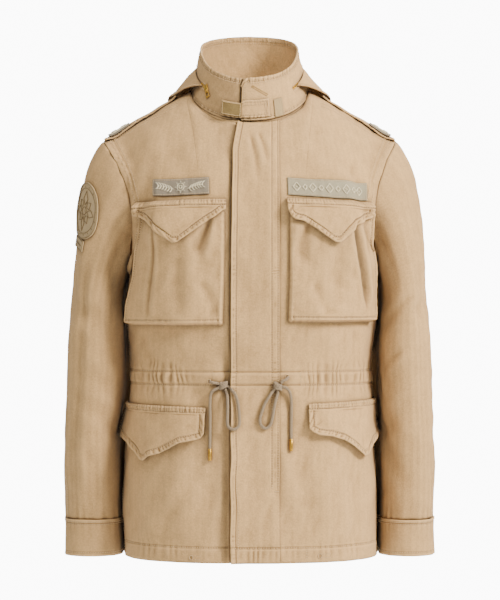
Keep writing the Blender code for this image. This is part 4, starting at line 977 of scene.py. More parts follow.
def painted_occlusion_shade(tree, distance, gain, most):
    """How far the cloth is shut in by what lies within a distance."""
    free = add_node(tree, "ShaderNodeAmbientOcclusion", {"samples": 4}, Distance=distance).outputs["AO"]
    return calc(tree, "MINIMUM", calc(tree, "MULTIPLY", calc(tree, "SUBTRACT", 1.0, free), gain), most)


def calc(tree, operation, a, b=0.0, c=0.0):
    return add_node(tree, "ShaderNodeMath", {"operation": operation}, i0=a, i1=b, i2=c).outputs[0]


def blend_colour(tree, share, a, b, kind="MIX"):
    """Colour a turning to b by share."""
    made = tree.nodes.new("ShaderNodeMix")
    made.data_type, made.blend_type = "RGBA", kind
    for socket, value in ((made.inputs[0], share), (made.inputs[6], a), (made.inputs[7], b)):
        if isinstance(value, bpy.types.NodeSocket):
            tree.links.new(value, socket)
        else:
            socket.default_value = value
    return made.outputs[2]


def twill(name, colour, pale, deep, band=0.0055, rib=0.0013):
    """Washed cotton herringbone: soft upright bands of slanting ribs, paler where an edge is rubbed.

    The real ribs are 0.7 mm apart; they are drawn at 1.3 mm so that they show.
    """
    material, tree, shader = start_material(name, 0.93, Sheen_Weight=0.05, Sheen_Roughness=0.6,
                                            Specular_IOR_Level=0.15)
    across, along = measured(tree)
    slant = calc(tree, "ADD", along, calc(tree, "PINGPONG", across, band))
    ribs = calc(tree, "SINE", calc(tree, "MULTIPLY", slant, 2 * math.pi / rib))
    bands = calc(tree, "SINE", calc(tree, "MULTIPLY", across, math.pi / band))
    cloud = noise(tree, 9.0, 3.0, Roughness=0.6)
    fleck = noise(tree, 420.0, 2.0, Roughness=0.7)
    mottle = noise(tree, 48.0, 4.0, Roughness=0.65)
    crest, edge, painted_shade = (layer(tree, label) for label in ("crest", "edge", "painted_shade"))
    cloudy = calc(tree, "MULTIPLY_ADD", cloud, 0.26, 0.86)
    mottled = calc(tree, "MULTIPLY_ADD", mottle, 0.34, 0.83)
    flecked = calc(tree, "MULTIPLY", calc(tree, "MULTIPLY_ADD", fleck, 0.66, 0.67), mottled)
    ribbed = calc(tree, "MULTIPLY_ADD", ribs, 0.03, 1.0)
    banded = calc(tree, "MULTIPLY_ADD", bands, 0.024, 1.0)
    light = calc(tree, "MULTIPLY", calc(tree, "MULTIPLY", cloudy, flecked), calc(tree, "MULTIPLY", ribbed, banded))
    # Painted shade: the colour is darkened (or lightened, below 0) by the shade attribute.
    light = calc(tree, "MULTIPLY", light, calc(tree, "SUBTRACT", 1.0, painted_shade))
    base = blend_colour(tree, 1.0, linear(colour), add_node(
        tree, "ShaderNodeCombineColor", i0=light, i1=light, i2=light).outputs[0], "MULTIPLY")
    # Troughs are darkened to the deep colour as painted shade; crests are paled partly as rubbed wear, partly as
    # painted highlight; rubbed edges are real wear.
    high = calc(tree, "MULTIPLY", calc(tree, "MAXIMUM", crest, 0.0), 0.55)
    low = calc(tree, "MULTIPLY", calc(tree, "MAXIMUM", calc(tree, "MULTIPLY", crest, -1.0), 0.0), 0.70)
    wear_and_highlight = calc(tree, "MINIMUM", calc(tree, "ADD", high, calc(tree, "MULTIPLY", edge, 0.55)), 0.8)
    colour = blend_colour(tree, low, blend_colour(tree, wear_and_highlight, base, linear(pale)), linear(deep))
    # Painted shade: the colour is darkened towards a grey brown where other cloth is near, and towards a dark brown in
    # tight gaps and under edges.
    colour = blend_colour(tree, painted_occlusion_shade(tree, 0.055, 0.52, 0.45), colour, linear("#847763"))
    colour = blend_colour(tree, painted_occlusion_shade(tree, 0.009, 1.15, 0.85), colour, linear("#493A2A"))
    pucker = noise(tree, 170.0, 2.0, Roughness=0.5)
    height = calc(tree, "ADD", calc(tree, "MULTIPLY", ribs, 0.12), calc(tree, "MULTIPLY", pucker, 1.1))
    height = calc(tree, "ADD", height, calc(tree, "MULTIPLY", fleck, 0.7))
    finish_material(tree, shader, colour, height, 0.8, 0.0006)
    return material


def brushed_felt(name, colour, pale):
    """Brushed hook-and-loop tape: a matt, mottled pile about 1 mm deep."""
    material, tree, shader = start_material(name, 1.0, Sheen_Weight=0.08, Sheen_Roughness=0.7,
                                            Specular_IOR_Level=0.1)
    pile = noise(tree, 650.0, 3.0, Roughness=0.8)
    share = calc(tree, "MULTIPLY_ADD", pile, 0.6, calc(tree, "MULTIPLY", noise(tree, 130.0, 2.0), 0.4))
    finish_material(tree, shader, blend_colour(tree, share, linear(colour), linear(pale)), share, 0.8, 0.0008)
    return material


def woven_tape(name, colour, pale, thread=0.0009):
    """Plain woven tape with thick threads: a small grid of over and under, 0.9 mm apart."""
    material, tree, shader = start_material(name, 0.9, Specular_IOR_Level=0.25)
    across, along = measured(tree)
    k = math.pi / thread
    warp = calc(tree, "SINE", calc(tree, "MULTIPLY", across, k))
    weft = calc(tree, "SINE", calc(tree, "MULTIPLY", along, k * 0.8))
    over = calc(tree, "MULTIPLY", warp, weft)
    fleck = noise(tree, 500.0, 3.0, Roughness=0.8)
    share = calc(tree, "ADD", calc(tree, "MULTIPLY_ADD", over, 0.22, 0.15), calc(tree, "MULTIPLY", fleck, 0.55))
    finish_material(tree, shader, blend_colour(tree, share, linear(colour), linear(pale)),
                    calc(tree, "ADD", over, fleck), 0.6, 0.0005)
    return material


def spun_thread(name, colour, pale):
    """Cotton sewing and embroidery thread: soft, a little glossy, streaked along its turns."""
    material, tree, shader = start_material(name, 0.7, Sheen_Weight=0.15)
    streaked = blend_colour(tree, noise(tree, 900.0, 2.0), linear(colour), linear(pale))
    tree.links.new(streaked, shader.inputs["Base Color"])
    return material


def braided_cord(name, colour, pale, deep, turn=0.0030):
    """Round braid: two families of strands crossing at an angle, 3 mm to a turn."""
    material, tree, shader = start_material(name, 0.85, Sheen_Weight=0.15)
    along, around = measured(tree)
    along, around = calc(tree, "MULTIPLY", along, 2 * math.pi / turn), calc(tree, "MULTIPLY", around, 8 * math.pi)
    braid = calc(tree, "MAXIMUM", *(calc(tree, "SINE", calc(tree, way, along, around)) for way in ("ADD", "SUBTRACT")))
    # Painted shade: the cord is darkened towards the deep colour in the grooves between its strands.
    painted_shade = blend_colour(tree, calc(tree, "MULTIPLY_ADD", braid, 0.35, 0.55), linear(deep), linear(colour))
    fleck = calc(tree, "MULTIPLY", noise(tree, 600.0, 2.0), 0.5)
    finish_material(tree, shader, blend_colour(tree, fleck, painted_shade, linear(pale)), braid, 0.7, 0.0006)
    return material


def satin_brass(name, colour, dark):
    """Cast and tumbled brass: satin, with a darker film in patches."""
    material, tree, shader = start_material(name, 0.34, Metallic=1.0)
    film = noise(tree, 260.0, 4.0, Roughness=0.65)
    share = calc(tree, "MULTIPLY", calc(tree, "MAXIMUM", calc(tree, "SUBTRACT", film, 0.42), 0.0), 2.2)
    finish_material(tree, shader, blend_colour(tree, share, linear(colour), linear(dark)), film, 0.15, 0.0002)
    return material


MATERIALS = {}


def material(name):
    """The jacket's own materials, each made when it is first asked for."""
    c = bpy.context.scene.jacket_colours
    makers = {
        "twill": lambda: twill("washed cotton herringbone twill", c.cloth, c.worn, c.deep),
        "felt": lambda: brushed_felt("brushed hook and loop tape", c.felt, "#97814F"),
        "loop": lambda: brushed_felt("loop side of the tape", "#947C54", "#BDA47A"),
        "tape": lambda: woven_tape("woven cotton tape", c.tape, "#BFB69B"),
        "badge": lambda: woven_tape("woven badge tape", "#82786A", "#9E947F"),
        "patch": lambda: woven_tape("woven patch cloth", "#B69C73", "#D3BC92"),
        "thread": lambda: spun_thread("cotton sewing thread", c.thread, "#EACB9A"),
        "cream": lambda: spun_thread("cream embroidery thread", "#E2D6B2", "#F4ECD0"),
        "khaki": lambda: spun_thread("khaki embroidery thread", "#6E5A38", "#8C754A"),
        "mustard": lambda: spun_thread("mustard buttonhole thread", "#B08A42", "#CDA653"),
        "cord": lambda: braided_cord("braided cotton cord", c.cord, "#B5A283", "#5E4E38"),
        "brass": lambda: satin_brass("satin brass", c.brass, "#7A5A24"),
    }
    if name not in MATERIALS:
        MATERIALS[name] = makers[name]()
    return MATERIALS[name]


# --- Body ------------------------------------------------------------------------------------------------
UPPER_ROWS = 50
LOW_ROWS = finer_near(0.0, 1.0, 0.0100, 0.0046,
                      [level(z) for z in (HEM_STITCH, CHANNEL_BOTTOM, CHANNEL_TOP)], 0.045)
TORSO_ROWS = np.concatenate([LOW_ROWS, 1 + (1 - np.cos(math.pi * steps(0, 1, UPPER_ROWS)[1:])) / 2])
FRONT_COLUMNS, BACK_COLUMNS = 128, 84
CENTRE_GAP = 0.0012


def by_height(_rows, _columns, grid):
    """Cloth cut with its bands upright: taped across from the first column, height along."""
    return run_length(grid, 1), grid[..., 2]


def sew_edges(seams, on, side=1):
    """Rows along a panel's armhole, side seam and shoulder seam."""
    for inset in (0.965, 0.935):
        seams.row(on, side * inset, steps(1.06, 1.985, 60))
    seams.row(on, side * 0.985, steps(0.0, 1.0, 40), pitch=0.0042)
    for top in (1.968, 1.952):
        seams.row(on, side * steps(0.50, 0.985, 40), top)


def by_turn(radius):
    """Cloth whose bands run down a round piece: across by the turn at a mean radius, along by length."""
    return lambda _rows, columns, grid: (columns * radius, run_length(grid))


def make_fronts():
    for word, side in SIDES:
        fine = [0.052, 0.057] if side < 0 else []
        columns = np.maximum(finer_near(0.0, 1.0, 1 / FRONT_COLUMNS, 0.0022, fine, 0.016 if fine else -1), CENTRE_GAP)
        on = partial(torso, 1, side)
        place = lambda t, u, lift: on(u, t, lift) - np.array((0, GAP / 2, 0))
        piece = shell(word + "_front", TORSO_ROWS, columns, place, CLOTH, weave=by_height, worn="bottom")
        seams = Sewing(word + "_front_stitching")
        inner = 0.155 if side < 0 else 0.215
        u = steps(inner, 0.995, 60)
        for z in (CHANNEL_TOP, CHANNEL_BOTTOM):
            seams.row(on, u, level(z))
        seams.row(on, inner, steps(level(CHANNEL_BOTTOM), level(CHANNEL_TOP), 12))
        seams.row(on, steps(0.10, 0.995, 60), level(HEM_STITCH))
        sew_edges(seams, on)
        seams.row(on, steps(0.12, 0.40, 40), 1.972)
        seams.make()


def make_back():
    half = steps(0.0, 1.0, BACK_COLUMNS)
    columns = np.concatenate([-half[::-1], half[1:]])
    on = lambda u, t, lift: torso(-1, np.where(u >= 0, 1, -1), np.abs(u), t, lift)
    piece = shell("back", TORSO_ROWS, columns, lambda t, u, lift: on(u, t, lift) + np.array((0, GAP / 2, 0)),
                  CLOTH, weave=by_height, worn="bottom")
    seams = Sewing("back_stitching")
    across = steps(-0.995, 0.995, 150)
    for z in (CHANNEL_TOP, CHANNEL_BOTTOM, HEM_STITCH):
        seams.row(on, across, level(z))
    for side in (-1, 1):
        sew_edges(seams, on, side)
    seams.row(on, steps(-0.40, 0.40, 60), 1.972)
    seams.make()


# --- Sleeves -----------------------------------------------------------------------------------------------
SLEEVE_TURNS, CAP_ROWS, ARM_ROWS = 102, 40, 80
CUFF_LIFT = 0.0012


def cuff(side, angle, t, lift):
    """The cuff's doubled cloth, with a rolled top edge, a hem stitch and the vent's lap."""
    height = mix(SLEEVE[-1, 0], SLEEVE[0, 0], t - 1)
    turn = np.degrees(angle) % 360
    around = round_metres(turn)
    roll = 0.0008 * bell(CUFF_TOP - height - 0.0015, 0.0022) - 0.0005 * bell(CUFF_TOP - height - 0.0062, 0.0012)
    hem = 0.0005 * bell(height - CUFF_BOTTOM - 0.0015, 0.002) - 0.0005 * bell(height - CUFF_BOTTOM - 0.006, 0.0012)
    pucker = 0.0006 * ripple(around, 0.011, 9.0 + side) * (bell(CUFF_TOP - height - 0.008, 0.012)
                                                          + 0.7 * bell(height - CUFF_BOTTOM, 0.010))
    lap = 0.0016 * vent_step(turn) * bell((turn - VENT_ANGLE) * ROUND_METRE, 0.030)
    return sleeve(side, angle, t, lift + CUFF_LIFT + roll + hem + pucker + lap)


def sleeve_shade(side, t, angle):
    """Deeper towards the body side, most in the hollow below the armpit."""
    turn = np.degrees(angle) % 360
    # Painted shade amounts: more on the wearer's right sleeve, the side away from the key lamp.
    base, hollow = (0.09, 0.32) if side < 0 else (0.06, 0.08)
    return base + 0.09 * bell(turn - 150, 42) + hollow * bell(turn - 130, 14) * bell(t - 0.72, 0.24)


def make_sleeves():
    rows = np.concatenate([steps(0.0, 1.0, CAP_ROWS),
                           steps(1.0, sleeve_t(CUFF_TOP + GAP), ARM_ROWS)[1:]])
    turns = steps(0.0, 2 * math.pi, SLEEVE_TURNS)
    cuff_rows = steps(sleeve_t(CUFF_TOP), sleeve_t(CUFF_BOTTOM), 26)
    for word, side in SIDES:
        arm, band, cloth = partial(sleeve, side), partial(cuff, side), by_turn(0.048)
        # Painted shade for the sleeve and its cuff.
        inner = partial(sleeve_shade, side)
        piece = shell(word + "_sleeve", rows, turns, crosswise(arm), CLOTH, ring=True, weave=cloth, painted_shade=inner)
        piece = shell(word + "_cuff", cuff_rows, turns, crosswise(band), CLOTH + CUFF_LIFT, ring=True,
                      weave=cloth, worn="bottom top", painted_shade=inner)
        seams = Sewing(word + "_sleeve_stitching")
        for z in (CUFF_TOP - 0.0040, CUFF_TOP - 0.0070, CUFF_BOTTOM + 0.0060):
            seams.row(band, steps(0.0, 2 * math.pi, 120), sleeve_t(z))
        end = sleeve_t(CUFF_TOP + 0.002)
        for inset in (0.0, math.radians(4)):
            seams.row(arm, math.radians(UNDER_SEAM) + inset, steps(0.05, end, 80), pitch=0.0042)
        for inset in (0.0, math.radians(9)):
            seams.row(arm, math.radians(VENT_ANGLE - 3) + inset, steps(sleeve_t(VENT_TOP + 0.004), end, 30))
        seams.make()


# --- Collar, its closing tab and the hood ----------------------------------------------------------------------
COLLAR_ROWS = 36
TAB_LOW, TAB_HIGH = 0.055, 0.465
TAB_FREE, TAB_SEWN = -27.5, 19.0        # degrees
FELT_FROM, FELT_TO, PATCH_FROM, PATCH_TO = -26.5, -7.5, 24.3, 34.0
TAB_CLOTH, FELT_CLOTH = 0.0020, 0.0010
TAB_DEGREE = 0.00157                    # metres round the collar for each degree


def collar_shell(h, angle, lift):
    return collar(angle, h, lift + overlap_lift(angle))


def collar_shade(_h, angle):
    """Deeper under the lap's edge and down the wearer's right of the back."""
    lapped = bell(angle - math.radians(335), 0.42) * (1 - smooth((angle - math.radians(351.5)) / 0.02))
    behind = 0.15 * bell(angle - math.radians(220), 0.7) - 0.24 * bell(angle - math.radians(128), 0.62)
    return 0.36 * lapped + behind


def make_collar():
    turns = np.concatenate([steps(OVERLAP_START, 0.05, 14), steps(0.05, 6.02, 196)[1:],
                            steps(6.02, 6.20, 22)[1:], steps(6.20, OVERLAP_END, 12)[1:]])
    piece = shell("collar", steps(0.0, 1.0, COLLAR_ROWS), turns, collar_shell, COLLAR_CLOTH,
                  worn="top left", wear=0.003, painted_shade=collar_shade)
    seams = Sewing("collar_stitching")
    on = crosswise(collar_shell)
    round_way = steps(OVERLAP_START + 0.09, OVERLAP_END - 0.02, 240)
    for inset in (0.0062, 0.0098):
        seams.row(on, round_way, 1 - inset / RIM_METRES)
        seams.row(on, round_way, 1 - inset / RIM_METRES, lift=-COLLAR_CLOTH - 0.0003)
    seams.row(on, steps(OVERLAP_START, OVERLAP_END, 240), 0.006 / RIM_METRES)
    seams.row(on, OVERLAP_START + 0.045, steps(0.08, 0.90, 30))
    zipped = steps(ZIP_FROM - 0.02, ZIP_TO + 0.02, 160)
    for off in (-0.0055, 0.0055):
        seams.row(on, zipped, ZIP_H + off / RIM_METRES)
    seams.make()
    foot = collar(steps(OVERLAP_START + 0.02, OVERLAP_START + 2 * math.pi - 0.03, 260), -0.034, 0.0016)
    dress(rope("neck_seam_piping", foot, 0.0028), "twill", material("twill"))
    buttonhole = Sewing("collar_buttonhole")
    share, turn, eye = steps(0.0, 1.0, 20), steps(0.0, 2 * math.pi, 24), 0.0018
    lines = [(np.radians(4.4 + 14.0 * share) + off / ROUND_COLLAR, 0.770 - 0.225 * share + off / RIM_METRES)
             for off in (-0.00105, 0.00105)]
    lines.append((np.radians(3.4) + eye / ROUND_COLLAR * np.cos(turn), 0.785 + eye / RIM_METRES * np.sin(turn)))
    for angle, h in lines:
        buttonhole.row(on, angle, h, pitch=0.0009, share=0.8, width=0.0005, slant=1.5)
    buttonhole.make("mustard")


def tab_surface(lift_off, follow_lap=False):
    def surface(h, degrees, lift):
        angle = np.radians(degrees)
        drop = overlap_lift(angle) - OVERLAP_LIFT if follow_lap else 0.0
        return collar(angle, h, OVERLAP_LIFT + GAP + lift_off + drop + lift)
    return surface


def make_collar_tab():
    """The closing tab, the felt square on its free end and the patch that the felt grips."""
    tab_cloth = tab_surface(TAB_CLOTH + 0.0002)

    def tab(h, degrees, lift):
        rim = np.minimum(np.minimum(h - TAB_LOW, TAB_HIGH - h) * RIM_METRES,
                         np.minimum(degrees - TAB_FREE, TAB_SEWN - degrees) * TAB_DEGREE)
        pucker = 0.0004 * ripple(degrees * TAB_DEGREE + h * 0.02, 0.0046, 5.5) * bell(rim - 0.003, 0.004)
        own = 0.0006 * smooth(rim / 0.002) - 0.0004 * bell(rim - 0.0042, 0.001) + pucker
        return tab_cloth(h, degrees, lift + own)

    piece = shell("collar_tab", steps(TAB_LOW, TAB_HIGH, 24), steps(TAB_FREE, TAB_SEWN, 60), tab, TAB_CLOTH,
                  worn="top bottom left right", wear=0.0016)
    felt_base, patch_base = tab_surface(TAB_CLOTH + GAP + FELT_CLOTH + 0.0006), tab_surface(FELT_CLOTH, True)
    for name, look, base, low, high, turns, size in (
            ("tab_felt", "felt", felt_base, TAB_LOW + 0.025, TAB_HIGH - 0.025, (FELT_FROM, FELT_TO), (0.0300, 0.0248)),
            ("collar_loop_patch", "loop", patch_base, TAB_LOW - 0.045, TAB_HIGH - 0.045, (PATCH_FROM, PATCH_TO),
             (0.0150, 0.0285))):
        pile = lambda h, degrees, lift: base(
            h, degrees, lift + 0.0003 * rumple(points(degrees, h * 40, 0 * h), 1.2, 41))
        piece = shell(name, steps(low, high, 20), steps(*turns, 26), pile, FELT_CLOTH, "felt", look)
    seams = Sewing("collar_tab_stitching")
    on = crosswise(tab)
    for h in (TAB_LOW + 0.056, TAB_HIGH - 0.056, TAB_HIGH - 0.12):
        seams.row(on, steps(FELT_TO + 0.6, TAB_SEWN - 0.6, 40), h, pitch=0.0028)
    for degrees in (TAB_SEWN - 1.2, TAB_SEWN - 3.0, TAB_SEWN - 4.4):
        seams.row(on, degrees, steps(TAB_LOW + 0.04, TAB_HIGH - 0.04, 20), pitch=0.0028)
    seams.make()
    edging = Sewing("felt_edging")
    felt_on, patch_on = crosswise(felt_base), crosswise(patch_base)
    low, high = TAB_LOW + 0.045, TAB_HIGH - 0.045
    for h in (low, high):
        edging.row(felt_on, steps(FELT_FROM + 1, FELT_TO - 1, 30), h, pitch=0.0024, share=0.8)
    for degrees in (FELT_FROM + 1, FELT_TO - 1):
        edging.row(felt_on, degrees, steps(low, high, 20), pitch=0.0024, share=0.8)
    for degrees in (PATCH_FROM + 0.7, PATCH_TO - 0.7):
        edging.row(patch_on, degrees, steps(TAB_LOW - 0.015, TAB_HIGH - 0.075, 20), pitch=0.0026)
    edging.make(slot="tape")


def make_hood():
    piece = shell("hood", steps(0.0, 1.0, 62), steps(HOOD_START, HOOD_END, 150),
                  crosswise(hood), CLOTH, weave=by_turn(0.12), worn="top", wear=0.003)
    seams = Sewing("hood_stitching")
    seams.row(hood, steps(HOOD_START + 0.02, HOOD_END - 0.02, 200), 0.90)
    for off in (-0.025, 0.025):
        seams.row(hood, math.pi + off, steps(0.08, 0.88, 60))
    seams.make()


# --- The fly strip ---------------------------------------------------------------------------------------------
FLY_RIGHT_EDGE, FLY_TOP = 0.046, 1.985
FLY_SEAMS = (0.0345, 0.0437)            # the two rows that hold the fly's inner edge
FLY_BAND = 0.0391                       # the puckers between them
FLY_LOOSE_Z = -0.405                    # below this height the fly stands off more
FLY_TACK_Z = -0.616                     # where the inner rows end in a bar tack


def across_front(x, t, lift):
    """A point of the front on row t, by its place seen from the front."""
    x, t = arrays(x, t)
    side = np.where(x >= torso_base(1, 1, 0 * x, t)[..., 0], 1, -1)
    low, high = np.zeros(x.shape), np.ones(x.shape)
    for _ in range(24):
        u = (low + high) / 2
        less = side * (torso_base(1, side, u, t)[..., 0] - x) < 0
        low, high = np.where(less, u, low), np.where(less, high, u)
    return torso(1, side, (low + high) / 2, t, lift)


def fly(t, share, lift):
    """share runs from the fly's free edge (0) to its stitched one (1)."""
    t, share = arrays(t, share)
    z = torso_base(1, 1, 0 * t, t)[..., 2]
    flat_edge = fly_edge(z)
    low = smooth((FLY_LOOSE_Z - z) / 0.08)
    edge = flat_edge + 0.0009 * ripple(z, 0.090, 2.4) * (0.4 + low)
    x = mix(edge, FLY_RIGHT_EDGE, share)
    off = x - edge
    stand = OVER + mix(0.0026, 0.0014, smooth(share * 1.6)) + FLY_GROOVE * bell(x - flat_edge + 0.0006, 0.0026)
    stand = stand + fly_dip(x - flat_edge, z)
    stand = stand + 0.0040 * low * (1 - smooth(off / 0.034)) + 0.0014 * (1 - smooth(off / 0.012))
    ladder = 0.0007 * ripple(z, 0.0068, 7.3) * bell(off - 0.0035, 0.0040)
    roll = 0.0008 * bell(off - 0.0012, 0.0022) - 0.0007 * bell(off - 0.0080, 0.0013)
    band = 0.0006 * ripple(z, 0.0056, 3.7) * bell(x - FLY_BAND, 0.0038)
    rows = -0.0006 * (bell(x - FLY_SEAMS[0], 0.0013) + bell(x - FLY_SEAMS[1], 0.0013))
    sewn = smooth((z - FLY_TACK_Z) / 0.01)
    hem = 0.0007 * ripple(x, 0.0085, 4.4) * bell(z - HEM_STITCH + 0.010, 0.012) - 0.0007 * bell(z - HEM_STITCH, 0.0015)
    return across_front(x, t, stand + ladder + roll + (band + rows) * sewn + hem + lift)


def make_placket():
    rows = np.minimum(TORSO_ROWS, FLY_TOP)
    rows = rows[:np.argmax(rows >= FLY_TOP) + 1]
    wide = np.concatenate([steps(0.0, 0.20, 22), steps(0.20, 1.0, 50)[1:]])
    piece = shell("placket", rows, wide, fly, CLOTH, weave=by_height, worn="left bottom", wear=0.0025)
    seams = Sewing("placket_stitching")
    on = crosswise(fly)
    wide = FLY_RIGHT_EDGE - FLY_EDGE[0, 1]
    down = steps(0.02, 1.97, 260)
    wander = 0.0040 * smooth((-0.58 - mix(HEM_Z, ARMPIT_Z, np.minimum(down, 1))) / 0.12)
    seams.row(on, (0.0080 + wander) / wide, down)
    held = steps(level(FLY_TACK_Z), 1.95, 220)
    for x in FLY_SEAMS:
        seams.row(on, (x - FLY_EDGE[0, 1]) / wide, held)
    seams.row(on, steps(0.03, 0.97, 30), level(HEM_STITCH))
    seams.make()
    tacks = Sewing("placket_bar_tack")
    tacks.row(on, steps((0.0385 - FLY_EDGE[0, 1]) / wide, (0.0450 - FLY_EDGE[0, 1]) / wide, 8),
              level(FLY_TACK_Z - 0.004), pitch=0.0009, share=0.9, width=0.0010, slant=4.0)
    tacks.make()


# --- Chest pockets and flaps: across is taped from the middle of the front, drop down from the flap's top --
Pocket = namedtuple("Pocket", "across top_width bottom_width top bottom")
CHEST_POCKETS = {"right": Pocket(0.0430, 0.149, 0.172, -0.190, -0.3650),
                 "left": Pocket(0.0560, 0.147, 0.160, -0.190, -0.3600)}
POCKET_TOP_LIFT, POCKET_BOTTOM_LIFT, GUSSET = 0.009, 0.016, 0.0055
POCKET_HEM = 0.0088                     # from the pocket's edge to its stitched row
LOW = OVER + CLOTH
POCKET_LOW = LOW + 0.0006
BELLOWS_RUN = 0.160
# Pleats and creases of a pocket: side, share across and height at both ends, width, height
Pleat = namedtuple("Pleat", "word s0 z0 s1 z1 width height")
PLEATS = (
    Pleat("right", 0.735, -0.206, 0.672, -0.352, 0.0042, -0.0017),
    Pleat("right", 0.560, -0.225, 0.540, -0.330, 0.0150, -0.0006),
    Pleat("right", 0.14, -0.206, 0.30, -0.250, 0.0080, -0.0034),
    Pleat("right", 0.42, -0.262, 0.36, -0.345, 0.0120, -0.0016),
    Pleat("right", 0.20, -0.300, 0.10, -0.352, 0.0090, -0.0014),
    Pleat("left", 0.775, -0.326, 0.712, -0.204, 0.0060, -0.0056),
    Pleat("left", 0.560, -0.215, 0.420, -0.300, 0.0150, -0.0012),
    Pleat("left", 0.20, -0.206, 0.14, -0.262, 0.0090, -0.0024),
    Pleat("left", 0.48, -0.250, 0.40, -0.345, 0.0130, -0.0016),
    Pleat("left", 0.30, -0.300, 0.36, -0.352, 0.0090, -0.0014),
)


# Lines along which a pocket's colour is darkened with painted shade, down in its pleats and under its flap; the last
# column is by how much
PLEAT_SHADES = (
    Pleat("left", 0.752, -0.318, 0.690, -0.208, 0.0036, 0.95),
    Pleat("left", 0.30, -0.222, 0.50, -0.240, 0.0060, 0.16),
    Pleat("right", 0.737, -0.214, 0.672, -0.350, 0.0030, 0.03),
    Pleat("right", 0.20, -0.212, 0.31, -0.246, 0.0040, 0.26),
)


def pocket_width(pocket, z):
    return mix(pocket.bottom_width, pocket.top_width, (z - pocket.bottom) / (pocket.top - pocket.bottom))


def pocket_lift(pocket, share, z, ease=0.0):
    """How far the bellows pocket stands off the front."""
    side_way = np.minimum(share, 1 - share) * pocket.bottom_width + ease
    up_way = z - pocket.bottom + ease
    deep = mix(POCKET_BOTTOM_LIFT, POCKET_TOP_LIFT, smooth((z - pocket.bottom) / BELLOWS_RUN))
    deep = mix(POCKET_LOW, deep, mix(0.35, 1.0, smooth(share / 0.45)))
    return mix(POCKET_LOW, deep, smooth(side_way / GUSSET) * smooth(up_way / GUSSET))


def pocket_relief(word, pocket, share, z):
    width = pocket.bottom_width
    total = 0.0009 * rumple(points(share * width, 0 * z, z), 0.060, 51 if word == "right" else 52)
    total = total + 0.0005 * rumple(points(share * width, 0 * z, z), 0.024, 53)
    for pleat in PLEATS:
        if pleat.word == word:
            line = Fold(1, pleat.s0 * width, pleat.z0, pleat.s1 * width, pleat.z1, pleat.width, pleat.height)
            total = total + crease_form(share * width, z, line)
    edge = np.minimum(np.minimum(share, 1 - share) * width, z - pocket.bottom)
    total = total * smooth((edge - 0.001) / 0.010)
    hem = np.minimum((1 - share) * width, z - pocket.bottom)
    total = total + 0.0009 * bell(hem - 0.0045, 0.0024) - 0.0008 * bell(hem - POCKET_HEM, 0.0013)
    low = 0.0010 * ripple(share * width, 0.0086, 6.1) * bell(z - pocket.bottom - 0.006, 0.0045)
    upright = 0.0005 * ripple(z, 0.0110, 6.7) * bell(np.minimum(share, 1 - share) * width - 0.005, 0.004)
    return total + low + upright


def pocket_shade(word, share, z):
    """Deeper colour down in the pleats."""
    width, total = CHEST_POCKETS[word].bottom_width, 0.0
    for pleat in PLEAT_SHADES:
        if pleat.word == word:
            away, place, full = line_share(share * width, z, pleat.s0 * width, pleat.z0, pleat.s1 * width, pleat.z1)
            total = total + pleat.height * full * bell(away, pleat.width * (0.7 + 0.6 * np.clip(place, 0, 1)))
    return total


def make_chest_pockets():
    up = np.concatenate([steps(0.0, 0.14, 20), steps(0.14, 1.0, 54)[1:]])
    out = np.concatenate([steps(0.0, 0.13, 22), steps(0.13, 0.87, 54)[1:], steps(0.87, 1.0, 22)[1:]])
    for word, side in SIDES:
        pocket = CHEST_POCKETS[word]

        def bellows(z, share, lift):
            z, share = arrays(z, share)
            across = pocket.across + share * pocket_width(pocket, z)
            own = pocket_lift(pocket, share, z) + pocket_relief(word, pocket, share, z)
            return on_torso(side * across, z, own + lift)

        name = word + "_chest_pocket"
        piece = shell(name, pocket.bottom + up * (pocket.top - pocket.bottom), out, bellows, CLOTH,
                      weave=by_height, worn="bottom left right", wear=0.003,
                      painted_shade=lambda z, share: pocket_shade(word, share, z))
        seams = Sewing(name + "_stitching")
        on = crosswise(bellows)
        inner, low = POCKET_HEM / pocket.bottom_width, pocket.bottom + POCKET_HEM
        seams.row(on, 1 - inner, steps(low, pocket.top, 60))
        seams.row(on, steps(0.01, 1 - inner, 60), low)
        seams.make()


Flap = namedtuple("Flap", "across width top tilt stand band edge")
FLAPS = {
    ("chest", "right"): Flap(0.0410, 0.152, -0.1705, -0.003, 0.0, 0.0105, (
        (0.0, 0.0170), (0.04, 0.0205), (0.11, 0.0285), (0.20, 0.0360), (0.39, 0.0555), (0.48, 0.0640),
        (0.53, 0.0640), (0.68, 0.0480), (0.82, 0.0310), (0.92, 0.0250), (1.0, 0.0215))),
    ("chest", "left"): Flap(0.0530, 0.1415, -0.1695, -0.004, 0.0, 0.0100, (
        (0.0, 0.0180), (0.04, 0.0290), (0.08, 0.0335), (0.17, 0.0355), (0.32, 0.0470), (0.50, 0.0630),
        (0.55, 0.0630), (0.72, 0.0410), (0.86, 0.0300), (0.95, 0.0260), (1.0, 0.0215))),
    ("hip", "right"): Flap(0.0700, 0.205, -0.4915, 0.004, 0.004, 0.0085, (
        (0.0, 0.0400), (0.02, 0.0470), (0.06, 0.0505), (0.18, 0.0560), (0.34, 0.0730), (0.43, 0.0790),
        (0.49, 0.0860), (0.53, 0.0850), (0.62, 0.0720), (0.73, 0.0610), (0.94, 0.0520), (1.0, 0.0420))),
    ("hip", "left"): Flap(0.0890, 0.205, -0.4860, 0.006, 0.004, 0.0085, (
        (0.0, 0.0380), (0.03, 0.0440), (0.08, 0.0490), (0.18, 0.0520), (0.28, 0.0590), (0.37, 0.0700),
        (0.47, 0.0860), (0.52, 0.0850), (0.62, 0.0700), (0.74, 0.0590), (0.94, 0.0520), (1.0, 0.0420))),
}
FLAP_LOW, FLAP_OVER, FLAP_EASE, FLAP_RAMP = LOW + 0.0004, 0.0010, 0.005, 0.009
